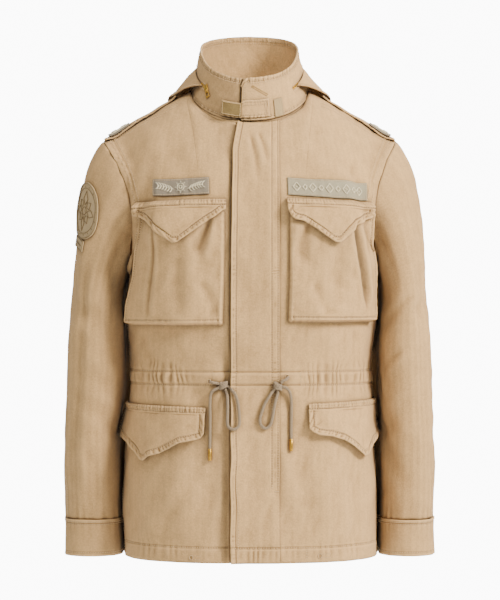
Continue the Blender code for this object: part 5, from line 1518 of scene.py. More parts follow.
FLAP_HEM, FLAP_END = 0.0085, 0.045      # its stitched row: metres from the edge, share from each end


def flap_length(flap, share):
    """How far the flap reaches down."""
    return np.interp(share, *np.array(flap.edge).T)


def flap_surface(kind, word):
    flap, side = FLAPS[kind, word], dict(SIDES)[word]
    pocket = CHEST_POCKETS[word] if kind == "chest" else None
    table = np.array(flap.edge)
    seed = 3.3 * side + (11 if pocket else 17)

    def cover(share_down, share, lift):
        share_down, share = arrays(share_down, share)
        top = flap.top + flap.tilt * share
        long = flap_length(flap, share)
        drop = long * share_down
        z = top - drop
        across = flap.across + share * flap.width
        stand = FLAP_LOW + flap.stand * smooth(share_down)
        if pocket:
            inside = np.clip((across - pocket.across) / pocket_width(pocket, z), 0, 1)
            under = pocket_lift(pocket, inside, np.minimum(z, pocket.top), FLAP_EASE)
            under = under + pocket_relief(word, pocket, inside, np.minimum(z, pocket.top))
            stand = np.maximum(stand, mix(FLAP_LOW, under + LOW + FLAP_OVER, smooth(drop / FLAP_RAMP)))
        ends = np.minimum(share, 1 - share) * flap.width
        slope = 1 / np.hypot(1, np.interp(share, (table[1:, 0] + table[:-1, 0]) / 2,
                                          np.diff(table[:, 1]) / np.diff(table[:, 0])) / flap.width)
        rim = np.minimum(ends, (long - drop) * slope)
        below = smooth((drop - flap.band) / 0.004)
        roll = 0.0012 * bell(rim - 0.0020, 0.0026) - 0.0016 * bell(rim - 0.0080, 0.0013)
        along = share * flap.width + 0.6 * drop
        ladder = 0.0011 * ripple(along, 0.0080, seed) * bell(rim - 0.0042, 0.0036)
        curl = (0.0022 + 0.0026 * ripple(along, 0.055, seed + 1)) * bell(rim, 0.014) * smooth(drop / 0.025)
        ropy = 0.0013 * ripple(share * flap.width, 0.0054, seed + 2) * bell(drop - flap.band * 0.55, 0.0044)
        seam = 0.0012 * smooth(drop / 0.003) * (1 - below) - 0.0015 * bell(drop - flap.band, 0.0014)
        soft = 0.0010 * rumple(points(across, 0 * z, z), 0.045, int(61 + side)) * below
        ridge = 0.0
        if kind == "hip":
            away, _, full = line_share(share * flap.width, drop, 0.012, 0.014, 0.085, 0.060)
            ridge = 0.0016 * full * bell(away, 0.010) * below
        own = stand + (roll + ladder) * below + np.maximum(curl, 0) + ropy + seam + soft + ridge
        return on_torso(side * across, z, own + lift)

    return cover, flap


def make_flaps(kind):
    for word, _ in SIDES:
        cover, flap = flap_surface(kind, word)
        name = word + "_" + kind + "_flap"
        rows, columns = (58, 96) if kind == "chest" else (50, 130)
        piece = shell(name, steps(1.0, 0.0, rows), steps(0.0, 1.0, columns), cover, CLOTH,
                      weave=by_height, worn="bottom top left right", wear=0.0024)
        flap.width * float(np.mean(flap_length(flap, steps(0, 1, 50))))
        seams = Sewing(name + "_stitching")
        on = crosswise(cover)
        share = steps(FLAP_END, 1 - FLAP_END, 90)
        seams.row(on, share, 1 - FLAP_HEM / flap_length(flap, share))
        for end in (FLAP_END, 1 - FLAP_END):
            reach = flap_length(flap, end)
            seams.row(on, end, steps(flap.band / reach, 1 - FLAP_HEM / reach, 20))
        across = steps(0.01, 0.99, 90)
        for drop in (flap.band - 0.0005, 0.0028):
            seams.row(on, across, drop / flap_length(flap, across))
        seams.make()


# --- Tapes, shoulder straps and the sleeve patch -------------------------------------------------------------
Tape = namedtuple("Tape", "across width top drop height")
TAPES = {"right": Tape(0.0660, 0.0935, -0.1385, -0.0015, 0.0255),
         "left": Tape(0.0545, 0.1330, -0.1375, -0.0075, 0.0270)}
TAPE_CLOTH = 0.0012


def stroke(seams, surface, path, width=0.0011, pitch=0.0009):
    """A satin-stitched line through (right, up) places."""
    path = np.array(path, float)
    length = run_length(path)
    at = np.linspace(0, length[-1], max(3, int(length[-1] / 0.0015)))
    seams.row(surface, *at_lengths(at, length, path).T, pitch=pitch, share=0.95, width=width, lift=0.0005, slant=3.0)


def circle_path(right, up, radius, count=24):
    angle = np.radians(steps(0, 360.0, count))
    return np.stack([right + radius * np.cos(angle), up + radius * np.sin(angle)], axis=-1)


def make_chest_tapes():
    """Woven tapes with made-up embroidery: a row of lozenges, and two leafy sprigs beside a sun."""
    for word, side in SIDES:
        tape = TAPES[word]

        def surface(up, share, lift):
            z = tape.top + tape.drop * share + tape.height * up
            own = OVER + TAPE_CLOTH + 0.0004 * ripple(share * tape.width, 0.014, 5 + side)
            return on_torso(side * (tape.across + share * tape.width), z, own + lift)

        name = word + "_chest_tape"
        piece = shell(name, steps(-1.0, 0.0, 20), steps(0.0, 1.0, 72), surface, TAPE_CLOTH, "tape",
                      "badge" if word == "right" else "tape")
        on = lambda right, up, lift: surface(up / tape.height, right / tape.width, lift)
        hem = Sewing(name + "_edging")
        for up in (-0.0016, -tape.height + 0.0016):
            hem.row(on, steps(0.0012, tape.width - 0.0012, 60), up, pitch=0.0026, width=0.0005)
        for right in (0.0014, tape.width - 0.0014):
            hem.row(on, right, steps(-tape.height + 0.0016, -0.0016, 14), pitch=0.0026, width=0.0005)
        hem.make(slot="tape")
        motif = Sewing(name + "_embroidery")
        middle = -tape.height / 2
        if word == "right":
            centre = tape.width / 2
            stroke(motif, on, circle_path(centre, middle, 0.0058), 0.0012)
            stroke(motif, on, circle_path(centre, middle, 0.0026), 0.0018)
            for angle in steps(0, 2 * math.pi, 8)[:-1]:
                stroke(motif, on, [(centre + r * math.cos(angle), middle + r * math.sin(angle))
                                   for r in (0.0072, 0.0094)], 0.0009)
            for way in (-1, 1):
                stem = [(centre + way * (0.0115 + 0.0255 * s), middle - 0.0030 + 0.0050 * math.sin(1.9 * s))
                        for s in np.linspace(0, 1, 8)]
                stroke(motif, on, stem, 0.0009)
                for k in range(6):
                    x, y = centre + way * (0.0140 + 0.0043 * k), middle - 0.0026 + 0.0050 * math.sin(0.32 * k)
                    for up in (1, -1):
                        stroke(motif, on, [(x, y), (x + way * 0.0028, y + up * 0.0042),
                                           (x + way * 0.0044, y + up * 0.0046)], 0.0015)
        else:
            for k in range(9):
                x = 0.0135 + 0.0132 * k
                size = 0.0056 if k % 2 == 0 else 0.0036
                stroke(motif, on, [(x - size, middle), (x, middle + size * 1.25), (x + size, middle),
                                   (x, middle - size * 1.25), (x - size, middle)], 0.0016)
                if k % 2 == 0:
                    stroke(motif, on, [(x - 0.0010, middle), (x + 0.0010, middle)], 0.0016)
        motif.make("cream", "tape")


STRAP_CLOTH, STRAP_INNER_X, STRAP_OUTER_X = 0.0022, 0.114, 0.2315
STRAP_HALF_INNER, STRAP_HALF_OUTER = 0.019, 0.025
STRAP_PATCH_X, STRAP_PATCH_HALF = (0.190, 0.224), 0.017
STRAP_HEM = 0.70                        # share of the strap's half width at its stitched rows


def make_shoulder_straps():
    for word, side in SIDES:
        def strap(share, x, lift):
            share, x = arrays(share, x)
            out = (x - STRAP_INNER_X) / (STRAP_OUTER_X - STRAP_INNER_X)
            half = mix(STRAP_HALF_INNER, STRAP_HALF_OUTER, out)
            rim = np.minimum((1 - np.abs(share)) * half, x - STRAP_INNER_X)
            own = 0.0008 * bell(rim - 0.0015, 0.0022) - 0.0006 * bell(rim - 0.0068, 0.0012)
            own = own + 0.0007 * ripple(x, 0.0085, 3 + side) * bell(rim - 0.003, 0.005)
            own = own + 0.0008 * rumple(points(x, share * half, 0 * x), 0.035, 71) + 0.0010
            own = own + 0.0026 * bell(x - STRAP_INNER_X, 0.008) * (0.4 + 0.6 * (share < 0.2))
            return shoulder(side, x, share * half, GAP + STRAP_CLOTH + own + lift)

        def patch(share, x, lift):
            return shoulder(side, x, share * STRAP_PATCH_HALF, 2 * GAP + STRAP_CLOTH + TAPE_CLOTH + 0.0018 + lift)

        piece = shell(word + "_epaulette", steps(-1.0, 1.0, 34), steps(STRAP_INNER_X, STRAP_OUTER_X, 60), strap,
                      STRAP_CLOTH, worn="top bottom left", wear=0.0022)
        piece = shell(word + "_strap_patch", steps(-1.0, 1.0, 20), steps(*STRAP_PATCH_X, 20), patch, TAPE_CLOTH,
                      "tape", "badge")
        seams = Sewing(word + "_strap_stitching")
        on = crosswise(strap)
        for share in (-STRAP_HEM, STRAP_HEM):
            seams.row(on, steps(STRAP_INNER_X + 0.006, STRAP_OUTER_X - 0.002, 50), share)
        for x in (STRAP_INNER_X + 0.0065, STRAP_OUTER_X - 0.003):
            seams.row(on, x, steps(-STRAP_HEM, STRAP_HEM, 20))
        seams.make()
        motif = Sewing(word + "_strap_embroidery")
        flat = lambda x, across, lift: patch(across / STRAP_PATCH_HALF, x, lift)
        middle = sum(STRAP_PATCH_X) / 2
        for size in (0.0145, 0.0090):
            stroke(motif, flat, [(middle - size, -size * 0.8), (middle, size * 0.95), (middle + size, -size * 0.8),
                                 (middle - size, -size * 0.8)], 0.0010)
        motif.make("cream", "tape")


BADGE_ANGLE, BADGE_Z, BADGE_RADIUS = math.radians(37), -0.186, 0.0425
BAR_DROP, BAR_WIDTH, BAR_HEIGHT = 0.051, 0.040, 0.018
BADGE_SIDE, BADGE_STEP = -1, 0.01


def badge_row(z):
    low, high = 0.0, 1.2
    for _ in range(40):
        middle = (low + high) / 2
        below = sleeve_base(BADGE_SIDE, BADGE_ANGLE, middle)[..., 2] <= z
        low, high = (low, middle) if below else (middle, high)
    return low


BADGE_ROW = badge_row(BADGE_Z)


def on_sleeve(right, up, lift):
    """Points of the badge's place on the sleeve, measured from the badge's middle."""
    right, up = arrays(right, up)
    middle = sleeve_base(BADGE_SIDE, BADGE_ANGLE, BADGE_ROW)
    t = np.full(right.shape, BADGE_ROW)
    for _ in range(3):
        here = sleeve_base(BADGE_SIDE, BADGE_ANGLE, t)
        slope = np.linalg.norm(sleeve_base(BADGE_SIDE, BADGE_ANGLE, t + BADGE_STEP) - here, axis=-1) / BADGE_STEP
        t = t + (np.copysign(np.linalg.norm(here - middle, axis=-1), BADGE_ROW - t) - up) / slope
    here = sleeve_base(BADGE_SIDE, BADGE_ANGLE, t)
    round_way = np.linalg.norm(sleeve_base(BADGE_SIDE, BADGE_ANGLE + BADGE_STEP, t) - here, axis=-1)
    return sleeve(BADGE_SIDE, BADGE_ANGLE + right * BADGE_STEP / round_way, t, lift)


def make_sleeve_patch():
    """A round patch with a made-up rosette in khaki thread, and a small plain bar below it."""
    def disc(share, angle, lift):
        reach = share * BADGE_RADIUS
        own = GAP + TAPE_CLOTH + 0.0006 + 0.0003 * bell(BADGE_RADIUS - reach - 0.0014, 0.0016)
        return on_sleeve(reach * np.cos(angle), reach * np.sin(angle), own + lift)

    piece = shell("sleeve_patch", steps(1.0, 0.02, 20), steps(0.0, 2 * math.pi, 72), disc, TAPE_CLOTH,
                  "tape", "patch", ring=True)
    bar = lambda up, right, lift: on_sleeve(right * BAR_WIDTH, up * BAR_HEIGHT - BAR_DROP,
                                            GAP + TAPE_CLOTH + 0.0004 + lift)
    piece = shell("sleeve_patch_bar", steps(-0.5, 0.5, 10), steps(-0.5, 0.5, 20), bar, TAPE_CLOTH, "tape", "patch")
    on = lambda right, up, lift: on_sleeve(right, up, GAP + TAPE_CLOTH + 0.0006 + lift)
    border = Sewing("sleeve_patch_border")
    stroke(border, lambda r, u, lift: on(r, u, lift + 0.0006), circle_path(0, 0, BADGE_RADIUS - 0.0014, 90),
           0.0014, 0.0008)
    half_w, half_h = BAR_WIDTH / 2 - 0.0010, BAR_HEIGHT / 2 - 0.0010
    stroke(border, on, [(-half_w, -BAR_DROP - half_h), (half_w, -BAR_DROP - half_h), (half_w, -BAR_DROP + half_h),
                        (-half_w, -BAR_DROP + half_h), (-half_w, -BAR_DROP - half_h)], 0.0010, 0.0008)
    border.make("khaki", "tape")
    motif = Sewing("sleeve_patch_rosette")
    stroke(motif, on, circle_path(0, 0, 0.0335, 60), 0.0008)
    stroke(motif, on, circle_path(0, 0, 0.0060), 0.0012)
    for k in range(8):
        angle = math.pi * k / 4 + 0.2
        tip, way = 0.0300 if k % 2 == 0 else 0.0220, np.array((math.cos(angle), math.sin(angle)))
        aside = np.array((-way[1], way[0]))
        for turn in (-1, 1):
            stroke(motif, on, [way * 0.0085, way * tip * 0.6 + turn * aside * 0.0062, way * tip], 0.0011)
    for k in range(16):
        angle = math.pi * k / 8 + 0.05
        stroke(motif, on, [(r * math.cos(angle), r * math.sin(angle)) for r in (0.0350, 0.0372)], 0.0008)
    for k in range(4):
        stroke(motif, on, [(-0.0105 + 0.0070 * k + off, -BAR_DROP) for off in (-0.0016, 0.0016)], 0.0024)
    motif.make("khaki", "tape")


# --- Waist drawcord ---------------------------------------------------------------------------------------------
CORD = 0.0044                           # diameter
KNOT_GAP = 0.0004                       # between a cord's end and its knot
Knot = namedtuple("Knot", "x z lift half_width half_height half_depth")
KNOTS = {"right_cord_knot": Knot(-0.0395, -0.4570, 0.0074, 0.0070, 0.0066, 0.0052),
         "left_cord_knot": Knot(0.0430, -0.4590, 0.0080, 0.0070, 0.0066, 0.0052)}
# Each cord's middle line, as seen from the front with its height off the cloth. The degrees say from what
# side of its knot the cord starts or ends, 0 being the viewer's right and 90 the top.
CORDS = {
    "right_cord_stub": (None, 165, [(-0.0600, -0.4518, 0.0010), (-0.0585, -0.4522, 0.0046),
                                    (-0.0540, -0.4534, 0.0060)]),
    "right_cord_tail": (208, None, [(-0.0552, -0.4658, 0.0056), (-0.0588, -0.4720, 0.0048),
                                    (-0.0602, -0.4850, 0.0042), (-0.0600, -0.5050, 0.0042),
                                    (-0.0598, -0.5300, 0.0042), (-0.0600, -0.5540, 0.0042)]),
    "right_cord_loop": (-68, -20, [(-0.0335, -0.4740, 0.0096), (-0.0328, -0.4900, 0.0116),
                                   (-0.0330, -0.5050, 0.0130), (-0.0329, -0.5162, 0.0138),
                                   (-0.0304, -0.5225, 0.0142), (-0.0241, -0.5252, 0.0142),
                                   (-0.0178, -0.5225, 0.0134), (-0.0153, -0.5162, 0.0128),
                                   (-0.0156, -0.5020, 0.0124), (-0.0175, -0.4850, 0.0126),
                                   (-0.0215, -0.4715, 0.0130), (-0.0262, -0.4652, 0.0128)]),
    "left_cord_stub": (None, 48, [(0.0590, -0.4450, 0.0016), (0.0580, -0.4458, 0.0048),
                                  (0.0545, -0.4484, 0.0070)]),
    "left_cord_tail": (-8, None, [(0.0572, -0.4628, 0.0078), (0.0612, -0.4690, 0.0066),
                                  (0.0632, -0.4780, 0.0054), (0.0640, -0.4900, 0.0044),
                                  (0.0640, -0.5080, 0.0042), (0.0638, -0.5250, 0.0042),
                                  (0.0640, -0.5392, 0.0042)]),
    "left_cord_loop": (224, 268, [(0.0300, -0.4745, 0.0084), (0.0235, -0.4860, 0.0078),
                                  (0.0190, -0.4980, 0.0072), (0.0161, -0.5085, 0.0070),
                                  (0.0170, -0.5178, 0.0070), (0.0236, -0.5235, 0.0070),
                                  (0.0309, -0.5195, 0.0070), (0.0342, -0.5100, 0.0070),
                                  (0.0366, -0.4960, 0.0074), (0.0394, -0.4820, 0.0080)]),
}
CORD_ENDS = {"right_cord_end": (-0.0600, -0.5545, 0.0185), "left_cord_end": (0.0640, -0.5397, 0.0185)}
CORD_END_RADIUS, CORD_END_LIFT = 0.0028, 0.0042
# A cord end's turned outline: share of its length from the top, share of its radius
CORD_END_OUTLINE = ((0.0, 0.80), (0.03, 1.0), (0.10, 1.0), (0.12, 0.93), (0.15, 0.93), (0.17, 1.0), (0.84, 0.96),
                    (0.86, 0.90), (0.89, 0.90), (0.91, 0.96), (0.985, 0.92), (1.0, 0.78))
SHORT_CORD = 0.030                      # a cord shorter than this is passed over before its path is thinned to a line
CORD_SIDES = 16


def front_point(x, z, lift):
    return on_front(np.array(x), np.array(z), np.array(lift))


def cord_path(name, spacing=0.0008):
    """Evenly spaced points on a smooth curve along the cord's route."""
    start, end, route = CORDS[name]
    knot = KNOTS[name[:name.index("_")] + "_cord_knot"]
    stops = [front_point(x, z, lift + fly_dip(x - fly_edge(z), z)) for x, z, lift in route]

    def beside(degrees, reach):
        across, up = math.cos(math.radians(degrees)), math.sin(math.radians(degrees))
        skin = 1 / math.hypot(across / knot.half_width, up / knot.half_height)
        return front_point(knot.x, knot.z, knot.lift) + np.array((across, 0.0, up)) * (skin + reach)

    if start is not None:
        stops = [beside(start, reach) for reach in (KNOT_GAP, CORD)] + stops
    if end is not None:
        stops += [beside(end, reach) for reach in (CORD, KNOT_GAP)]
    ends = [stops[0] * 2 - stops[1]] + stops + [stops[-1] * 2 - stops[-2]]
    fine = []
    for a, b, c, d in zip(ends, ends[1:], ends[2:], ends[3:]):
        for t in np.arange(24) / 24:
            fine.append(0.5 * (2 * b + (c - a) * t + (2 * a - 5 * b + 4 * c - d) * t * t
                               + (3 * b - a - 3 * c + d) * t ** 3))
    fine = np.array(fine + [stops[-1]])
    length = run_length(fine)
    return at_lengths(np.linspace(0, length[-1], max(4, int(length[-1] / spacing))), length, fine)


def rope(name, path, radius, turn=0.0075):
    """A round braided tube along a path, its strands raised a little."""
    ends = np.array((0.02, 0.45, 0.80, 0.97))
    path = np.concatenate([path[:1]] * 4 + [path[1:-1]] + [path[-1:]] * 4)
    shrink = np.concatenate([ends, np.ones(len(path) - 8), ends[::-1]])
    way = unit(np.gradient(path, axis=0))
    way[:4], way[-4:] = way[4], way[-5]
    nudge = radius * 0.5 * np.array((-1.0, -0.9, -0.6, -0.2))
    path = path.copy()
    path[:4] += out_by(way[:4], nudge)
    path[-4:] -= out_by(way[-4:], nudge[::-1])
    side = unit(np.cross(way, np.array((0.0, 1.0, 0.0)) + 0 * way))
    up = np.cross(side, way)
    length = run_length(path)
    angle = steps(0, 2 * math.pi, CORD_SIDES)
    phase = 2 * math.pi * length[:, None] / turn
    braid = np.maximum(np.sin(2 * angle + phase), np.sin(2 * angle - phase + 1.6))
    reach = radius * (0.955 + 0.075 * braid) * shrink[:, None]
    grid = path[:, None] + out_by(side[:, None], reach * np.cos(angle)) + out_by(up[:, None], reach * np.sin(angle))
    mesh, _, _ = grid_mesh(name, grid, (length[:, None] + 0 * angle, angle / (2 * math.pi) + 0 * reach))
    weld(mesh, outward=True)
    mesh.shade_smooth()
    return add(name, mesh)


def make_cords():
    for name, knot in KNOTS.items():
        middle = front_point(knot.x, knot.z, knot.lift)
        turn = np.linspace(-3.2 * math.pi, 3.2 * math.pi, 150)
        lean = 0.35 if knot.x < 0 else -0.35
        wide, deep, high = knot.half_width - CORD / 2, knot.half_depth - CORD / 2, knot.half_height - CORD / 2
        across = wide * 0.98 * np.cos(turn)
        up = high * turn / turn[-1] * 0.98 + lean * across
        path = middle + points(across, deep * np.sin(turn), up)
        dress(rope(name, path, CORD / 2), "cord", material("cord"), name)
    for name, (x, z, long) in CORD_ENDS.items():
        top, foot = front_point(x, z, CORD_END_LIFT), front_point(x, z - long, CORD_END_LIFT)
        bm = bmesh.new()
        line = [bm.verts.new((CORD_END_RADIUS * r, 0.0, -share * long)) for share, r in CORD_END_OUTLINE]
        line.append(bm.verts.new((0.0, 0.0, -long)))
        edges = [bm.edges.new(pair) for pair in zip(line, line[1:])]
        bmesh.ops.spin(bm, geom=edges + line, cent=(0, 0, 0), axis=(0, 0, 1), angle=2 * math.pi, steps=32,
                       use_merge=True)
        lean = Vector((0, 0, 1)).rotation_difference(Vector(top - foot)).to_matrix().to_4x4()
        bmesh.ops.transform(bm, matrix=Matrix.Translation(Vector(top)) @ lean, verts=bm.verts[:])
        mesh = mesh_of(bm, name)
        weld(mesh, outward=True)
        dress(add(name, mesh), "cord", material("brass"), name)
    for name in CORDS:
        path, word = cord_path(name), name[:name.index("_")]
        piece = rope(name, path, CORD / 2)
        dress(piece, "cord", material("cord"), name)
        length = float(np.linalg.norm(np.diff(path, axis=0), axis=1).sum())
        if length < SHORT_CORD:
            continue
        line = path[::max(1, len(path) // 40)]


# --- Collar zip -------------------------------------------------------------------------------------------------
SLIDER_ANGLE, SLIDER_H, SLIDER_LEAN = math.radians(309), 0.50, 0.55
SLIDER_WIDTH, SLIDER_LENGTH, SLIDER_HEIGHT = 0.0070, 0.0086, 0.0032
LUG_REACH, LUG_GAP, LUG_WIDTH = 0.0021, 0.0012, 0.0010
PULL_THICK, PULL_AXIS_HEIGHT = 0.0012, 0.0021
PULL_TONGUE, PULL_HALF, PULL_BAR = 0.0009, 0.0034, 0.0013
PULL_ROWS = (-0.0007, 0.0017, 0.0032, 0.0098, 0.0125)
SHARP = 0.6                             # radians between two faces


def zip_frame(forward, height):
    """The slider's own frame, moved along it: X across, Y down the zip, Z off the collar."""
    base = lambda h: Vector(collar_base(np.array(SLIDER_ANGLE), np.array(h)))
    normal = Vector(collar_normal(np.array(SLIDER_ANGLE), np.array(SLIDER_H)))
    up = (base(SLIDER_H + 0.1) - base(SLIDER_H)).normalized()
    front = up.cross(normal).normalized()
    down = (-up + front * SLIDER_LEAN).normalized()
    across = down.cross(normal).normalized()
    placed = Matrix((across, down, normal)).transposed().to_4x4()
    placed.translation = base(SLIDER_H) + down * forward + normal * height
    return placed


def plate(bm, xs, ys, cells, thick):
    """A flat plate cut from a grid of lines, keeping the named cells; its top lies at Z 0."""
    bmesh.ops.create_grid(bm, x_segments=len(xs) - 1, y_segments=len(ys) - 1, size=1.0)
    extra = [face for face in bm.faces if (
        int((face.calc_center_median().x + 1) / 2 * (len(xs) - 1)),
        int((face.calc_center_median().y + 1) / 2 * (len(ys) - 1))) not in cells]
    for vert in bm.verts:
        vert.co = (xs[round((vert.co.x + 1) / 2 * (len(xs) - 1))],
                   ys[round((vert.co.y + 1) / 2 * (len(ys) - 1))], 0.0)
    bmesh.ops.delete(bm, geom=extra, context="FACES")
    low = bmesh.ops.extrude_face_region(bm, geom=bm.faces[:], use_keep_orig=True)
    bmesh.ops.translate(bm, vec=(0, 0, -thick),
                        verts=[v for v in low["geom"] if isinstance(v, bmesh.types.BMVert)])
    bmesh.ops.recalc_face_normals(bm, faces=bm.faces[:])


def finish_metal(name, bm, edge, placed, body="jacket"):
    """Rounds the sharp edges, puts the piece in its place and makes it brass."""
    sharp = [e for e in bm.edges if e.is_manifold and e.calc_face_angle(0.0) > SHARP]
    bmesh.ops.bevel(bm, geom=sharp, offset=edge, segments=2, profile=0.5, affect="EDGES", material=-1,
                    clamp_overlap=True)
    bmesh.ops.transform(bm, matrix=placed, verts=bm.verts[:])
    dress(add(name, mesh_of(bm, name)), "brass", material("brass"), name, body=body)


def make_zip():
    bm = bmesh.new()
    half, lug0, lug1 = SLIDER_WIDTH / 2, LUG_GAP, LUG_GAP + LUG_WIDTH
    xs = [-half, -lug1, -lug0, lug0, lug1, half]
    ys = [-SLIDER_LENGTH / 2 - 0.0016, SLIDER_LENGTH / 2, SLIDER_LENGTH / 2 + LUG_REACH]
    plate(bm, xs, ys, {(k, 0) for k in range(5)} | {(1, 1), (3, 1)}, SLIDER_HEIGHT)
    finish_metal("zip_slider", bm, 0.0004, zip_frame(0.0, GAP + SLIDER_HEIGHT))
    bm = bmesh.new()
    xs = [-PULL_HALF, -PULL_HALF + PULL_BAR, -PULL_TONGUE, PULL_TONGUE, PULL_HALF - PULL_BAR, PULL_HALF]
    cells = {(2, 0)} | {(k, 1) for k in range(5)} | {(0, 2), (4, 2)} | {(k, 3) for k in range(5)}
    plate(bm, xs, PULL_ROWS, cells, PULL_THICK)
    bmesh.ops.translate(bm, vec=(0, 0, PULL_THICK / 2), verts=bm.verts[:])
    finish_metal("zip_pull", bm, 0.0003, zip_frame(SLIDER_LENGTH / 2 + LUG_REACH / 2, GAP + PULL_AXIS_HEIGHT),
                 body="zip_pull")
    teeth = Sewing("zip_teeth")
    on = crosswise(collar_shell)
    for start, end in ((ZIP_FROM - 0.03, ZIP_FROM + 0.16), (ZIP_TO - 0.16, ZIP_TO + 0.02)):
        run = steps(start, end, 20)
        for off in (-0.0013, 0.0013):
            teeth.row(on, run, ZIP_H + off / RIM_METRES, pitch=0.0016, share=0.55, width=0.0012,
                      lift=0.0006)
    teeth.make("brass", "brass")


EYELETS = ((-0.0612, -0.4515), (0.0577, -0.4440), (-0.0890, -0.7215), (0.1080, -0.7195))
HEM_BARS = ((-0.0840, -0.7215, 0.010), (0.1130, -0.7195, 0.012))    # x, height, length
HEM_TACKS, HEM_TACK_Z = (0.0870, 0.0890), (-0.7240, -0.7080)


def make_eyelets():
    """Thread-bound eyelets: two at the waist cord and a pair in each front's hem."""
    rings = Sewing("eyelets")
    turn = steps(0, 2 * math.pi, 30)
    for x, z in EYELETS:
        rings.row(on_front, x + 0.0028 * np.cos(turn), z + 0.0034 * np.sin(turn), pitch=0.0008, share=0.95,
                  width=0.0009, lift=0.0007, slant=3.0)
    rings.make()
    bars = Sewing("hem_bars")
    for x, z, way in HEM_BARS:
        for up in (-0.0026, 0.0026):
            bars.row(on_front, x + steps(0, way, 12), z + up, pitch=0.0026)
    for x in HEM_TACKS:
        bars.row(on_front, x, steps(*HEM_TACK_Z, 8), pitch=0.0024)
    bars.make()


# --- Stage -------------------------------------------------------------------------------------------------------
CAMERA_PLACE, CAMERA_VIEW = (0.0008, -3.5, -0.326), 15.63
FLOOR_Z = -1.45
# Each lamp: its place, the height it aims at, its size, its share of the key's power and its colour
LAMPS = (
    ("key", (3.0, -2.05, 1.75), -0.35, 1.3, 1.0, "#FFF5E8"),
    ("fill", (-2.6, -2.4, 0.4), -0.35, 2.2, 0.02, "#FFFFFF"),
    ("back", (0.4, 3.2, 1.4), -0.35, 2.4, 0.45, "#FFFFFF"),
    ("top", (-0.6, -1.5, 2.6), -0.2, 1.8, 0.15, "#FFF5E8"),
)


def make_light(name, place, aim, size, energy, colour):
    light = bpy.data.lights.new(name, "AREA")
    light.shape, light.size, light.energy, light.color = "DISK", size, energy, linear(colour)[:3]
    lamp = bpy.data.objects.new(name, light)
    bpy.context.scene.collection.objects.link(lamp)
    lamp.location = place
    lamp.rotation_euler = (Vector(aim) - Vector(place)).to_track_quat("-Z", "Y").to_euler()
    return lamp


def make_stage():
    scene = bpy.context.scene
    lens = bpy.data.cameras.new("front view")
    camera = bpy.data.objects.new("front view", lens)
    scene.collection.objects.link(camera)
    lens.sensor_fit, lens.sensor_height, lens.sensor_width = "VERTICAL", 24.0, 24.0
    lens.lens = 12.0 / math.tan(math.radians(CAMERA_VIEW / 2))
    lens.clip_start, lens.clip_end = 0.05, 50.0
    camera.location, camera.rotation_euler = CAMERA_PLACE, (math.pi / 2, 0, 0)
    scene.camera = camera
    bm = bmesh.new()
    bmesh.ops.create_grid(bm, x_segments=2, y_segments=2, size=4.0)
    bmesh.ops.translate(bm, vec=(0, 0, FLOOR_Z), verts=bm.verts[:])
    floor = add("floor", mesh_of(bm, "floor"))
    paper, _, shader = start_material("white paper", 0.9)
    shader.inputs["Base Color"].default_value = linear("#F4F4F3")
    floor.data.materials.append(paper)
    world = bpy.data.worlds.new("studio")
    scene.world = world
    world.use_nodes = True
    tree, light = world.node_tree, scene.jacket_light
    seen = add_node(tree, "ShaderNodeLightPath").outputs["Is Camera Ray"]
    strength = calc(tree, "MULTIPLY_ADD", seen, light.backdrop - light.surround, light.surround)
    sky = tree.nodes["Background"]
    sky.inputs[0].default_value = linear("#FDFDFD")
    tree.links.new(strength, sky.inputs[1])
    for name, place, aim_z, size, share, colour in LAMPS:
        make_light(name, place, (0, 0, aim_z), size, light.key * share, colour)


# --- The add-on ----------------------------------------------------------------------------------------------------
def colour_field(label, code, note):
    return bpy.props.StringProperty(name=label, default=code, description=note)


class JacketColours(bpy.types.PropertyGroup):
    """sRGB colours of the jacket's cloths and metal, as hex codes."""
    cloth: colour_field("Cloth", "#CBA570", "Washed tan of the herringbone")
    # Worn is real wear on rubbed edges and, on crests, both rubbed wear and painted highlight; deep is painted shade
    # in troughs, seams and under rolled edges.
    worn: colour_field("Worn", "#DAB580", "Rubbed edges and the crests of puckers")
    deep: colour_field("Deep", "#7F633F", "Cloth in the seams and under the rolled edges")
    felt: colour_field("Felt", "#6A5430", "Hook and loop tape")
    tape: colour_field("Tape", "#938B72", "Ground of the woven chest tapes")
    thread: colour_field("Thread", "#D9B580", "Sewing thread")
    cord: colour_field("Cord", "#917D63", "Waist drawcord")
    brass: colour_field("Brass", "#DDAE4C", "Zip and cord ends")


class JacketLight(bpy.types.PropertyGroup):
    """Strength of the studio light."""
    surround: bpy.props.FloatProperty(name="Surround", default=0.50, min=0.0, description="Light from all round")
    backdrop: bpy.props.FloatProperty(name="Backdrop", default=11.0, min=0.0, description="White seen behind")
    key: bpy.props.FloatProperty(name="Key", default=330.0, min=0.0, subtype="POWER", unit="POWER",
                                 description="Soft lamp at the viewer's right")


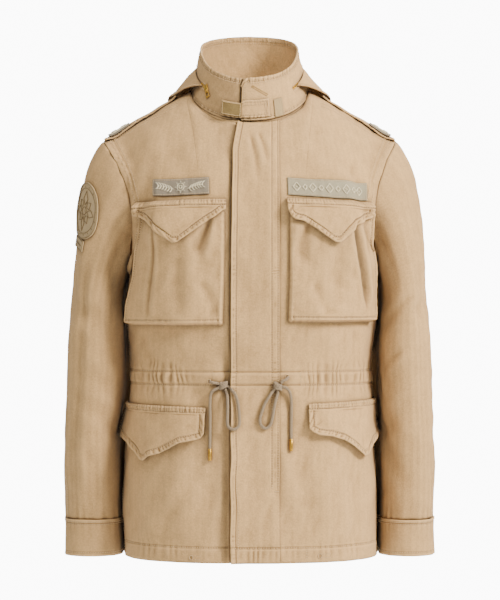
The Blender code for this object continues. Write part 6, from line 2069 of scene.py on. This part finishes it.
def operator(label, note, *makers):
    """An operator class that makes one group of pieces."""
    def execute(self, context):
        for make in makers:
            make()
        return {"FINISHED"}

    key = label.lower().replace(" ", "_")
    return type("JACKET_OT_" + key, (bpy.types.Operator,), {
        "__doc__": note, "bl_idname": "jacket." + key, "bl_label": label, "execute": execute})


OPERATORS = (
    operator("Stage", "Camera, floor and lights", make_stage),
    operator("Cords", "Waist drawcord, its knots and metal ends", make_cords),
    operator("Fronts", "Both front panels", make_fronts),
    operator("Back", "Back panel", make_back),
    operator("Sleeves", "Sleeves and cuffs", make_sleeves),
    operator("Collar", "Standing collar with its tab", make_collar, make_collar_tab),
    operator("Hood", "Hood let out of the collar", make_hood),
    operator("Placket", "Fly strip over the closed front", make_placket),
    operator("Chest pockets", "Bellows pockets and their flaps", make_chest_pockets, lambda: make_flaps("chest")),
    operator("Hip pockets", "Hip pocket flaps", lambda: make_flaps("hip")),
    operator("Tapes", "Chest tapes", make_chest_tapes),
    operator("Straps", "Shoulder straps and their patches", make_shoulder_straps),
    operator("Sleeve patch", "Round sleeve patch and its bar", make_sleeve_patch),
    operator("Zip", "Collar zip", make_zip),
    operator("Eyelets", "Thread eyelets", make_eyelets),
)


class JACKET_PT_panel(bpy.types.Panel):
    """Lists the jacket's pieces."""
    bl_label = "Field jacket"
    bl_space_type = "VIEW_3D"
    bl_region_type = "UI"
    bl_category = "Field jacket"

    def draw(self, context):
        for made in OPERATORS:
            self.layout.operator(made.bl_idname)
        for group in (context.scene.jacket_colours, context.scene.jacket_light):
            for field in group.__annotations__:
                self.layout.prop(group, field)


CLASSES = (JacketColours, JacketLight) + OPERATORS + (JACKET_PT_panel,)


def register():
    for made in CLASSES:
        bpy.utils.register_class(made)
    bpy.types.Scene.jacket_colours = bpy.props.PointerProperty(type=JacketColours)
    bpy.types.Scene.jacket_light = bpy.props.PointerProperty(type=JacketLight)


def unregister():
    del bpy.types.Scene.jacket_colours
    del bpy.types.Scene.jacket_light
    for made in reversed(CLASSES):
        bpy.utils.unregister_class(made)


def main():
    register()
    for made in OPERATORS:
        getattr(bpy.ops.jacket, made.bl_idname.split(".")[1])()


if __name__ == "__main__":
    main()
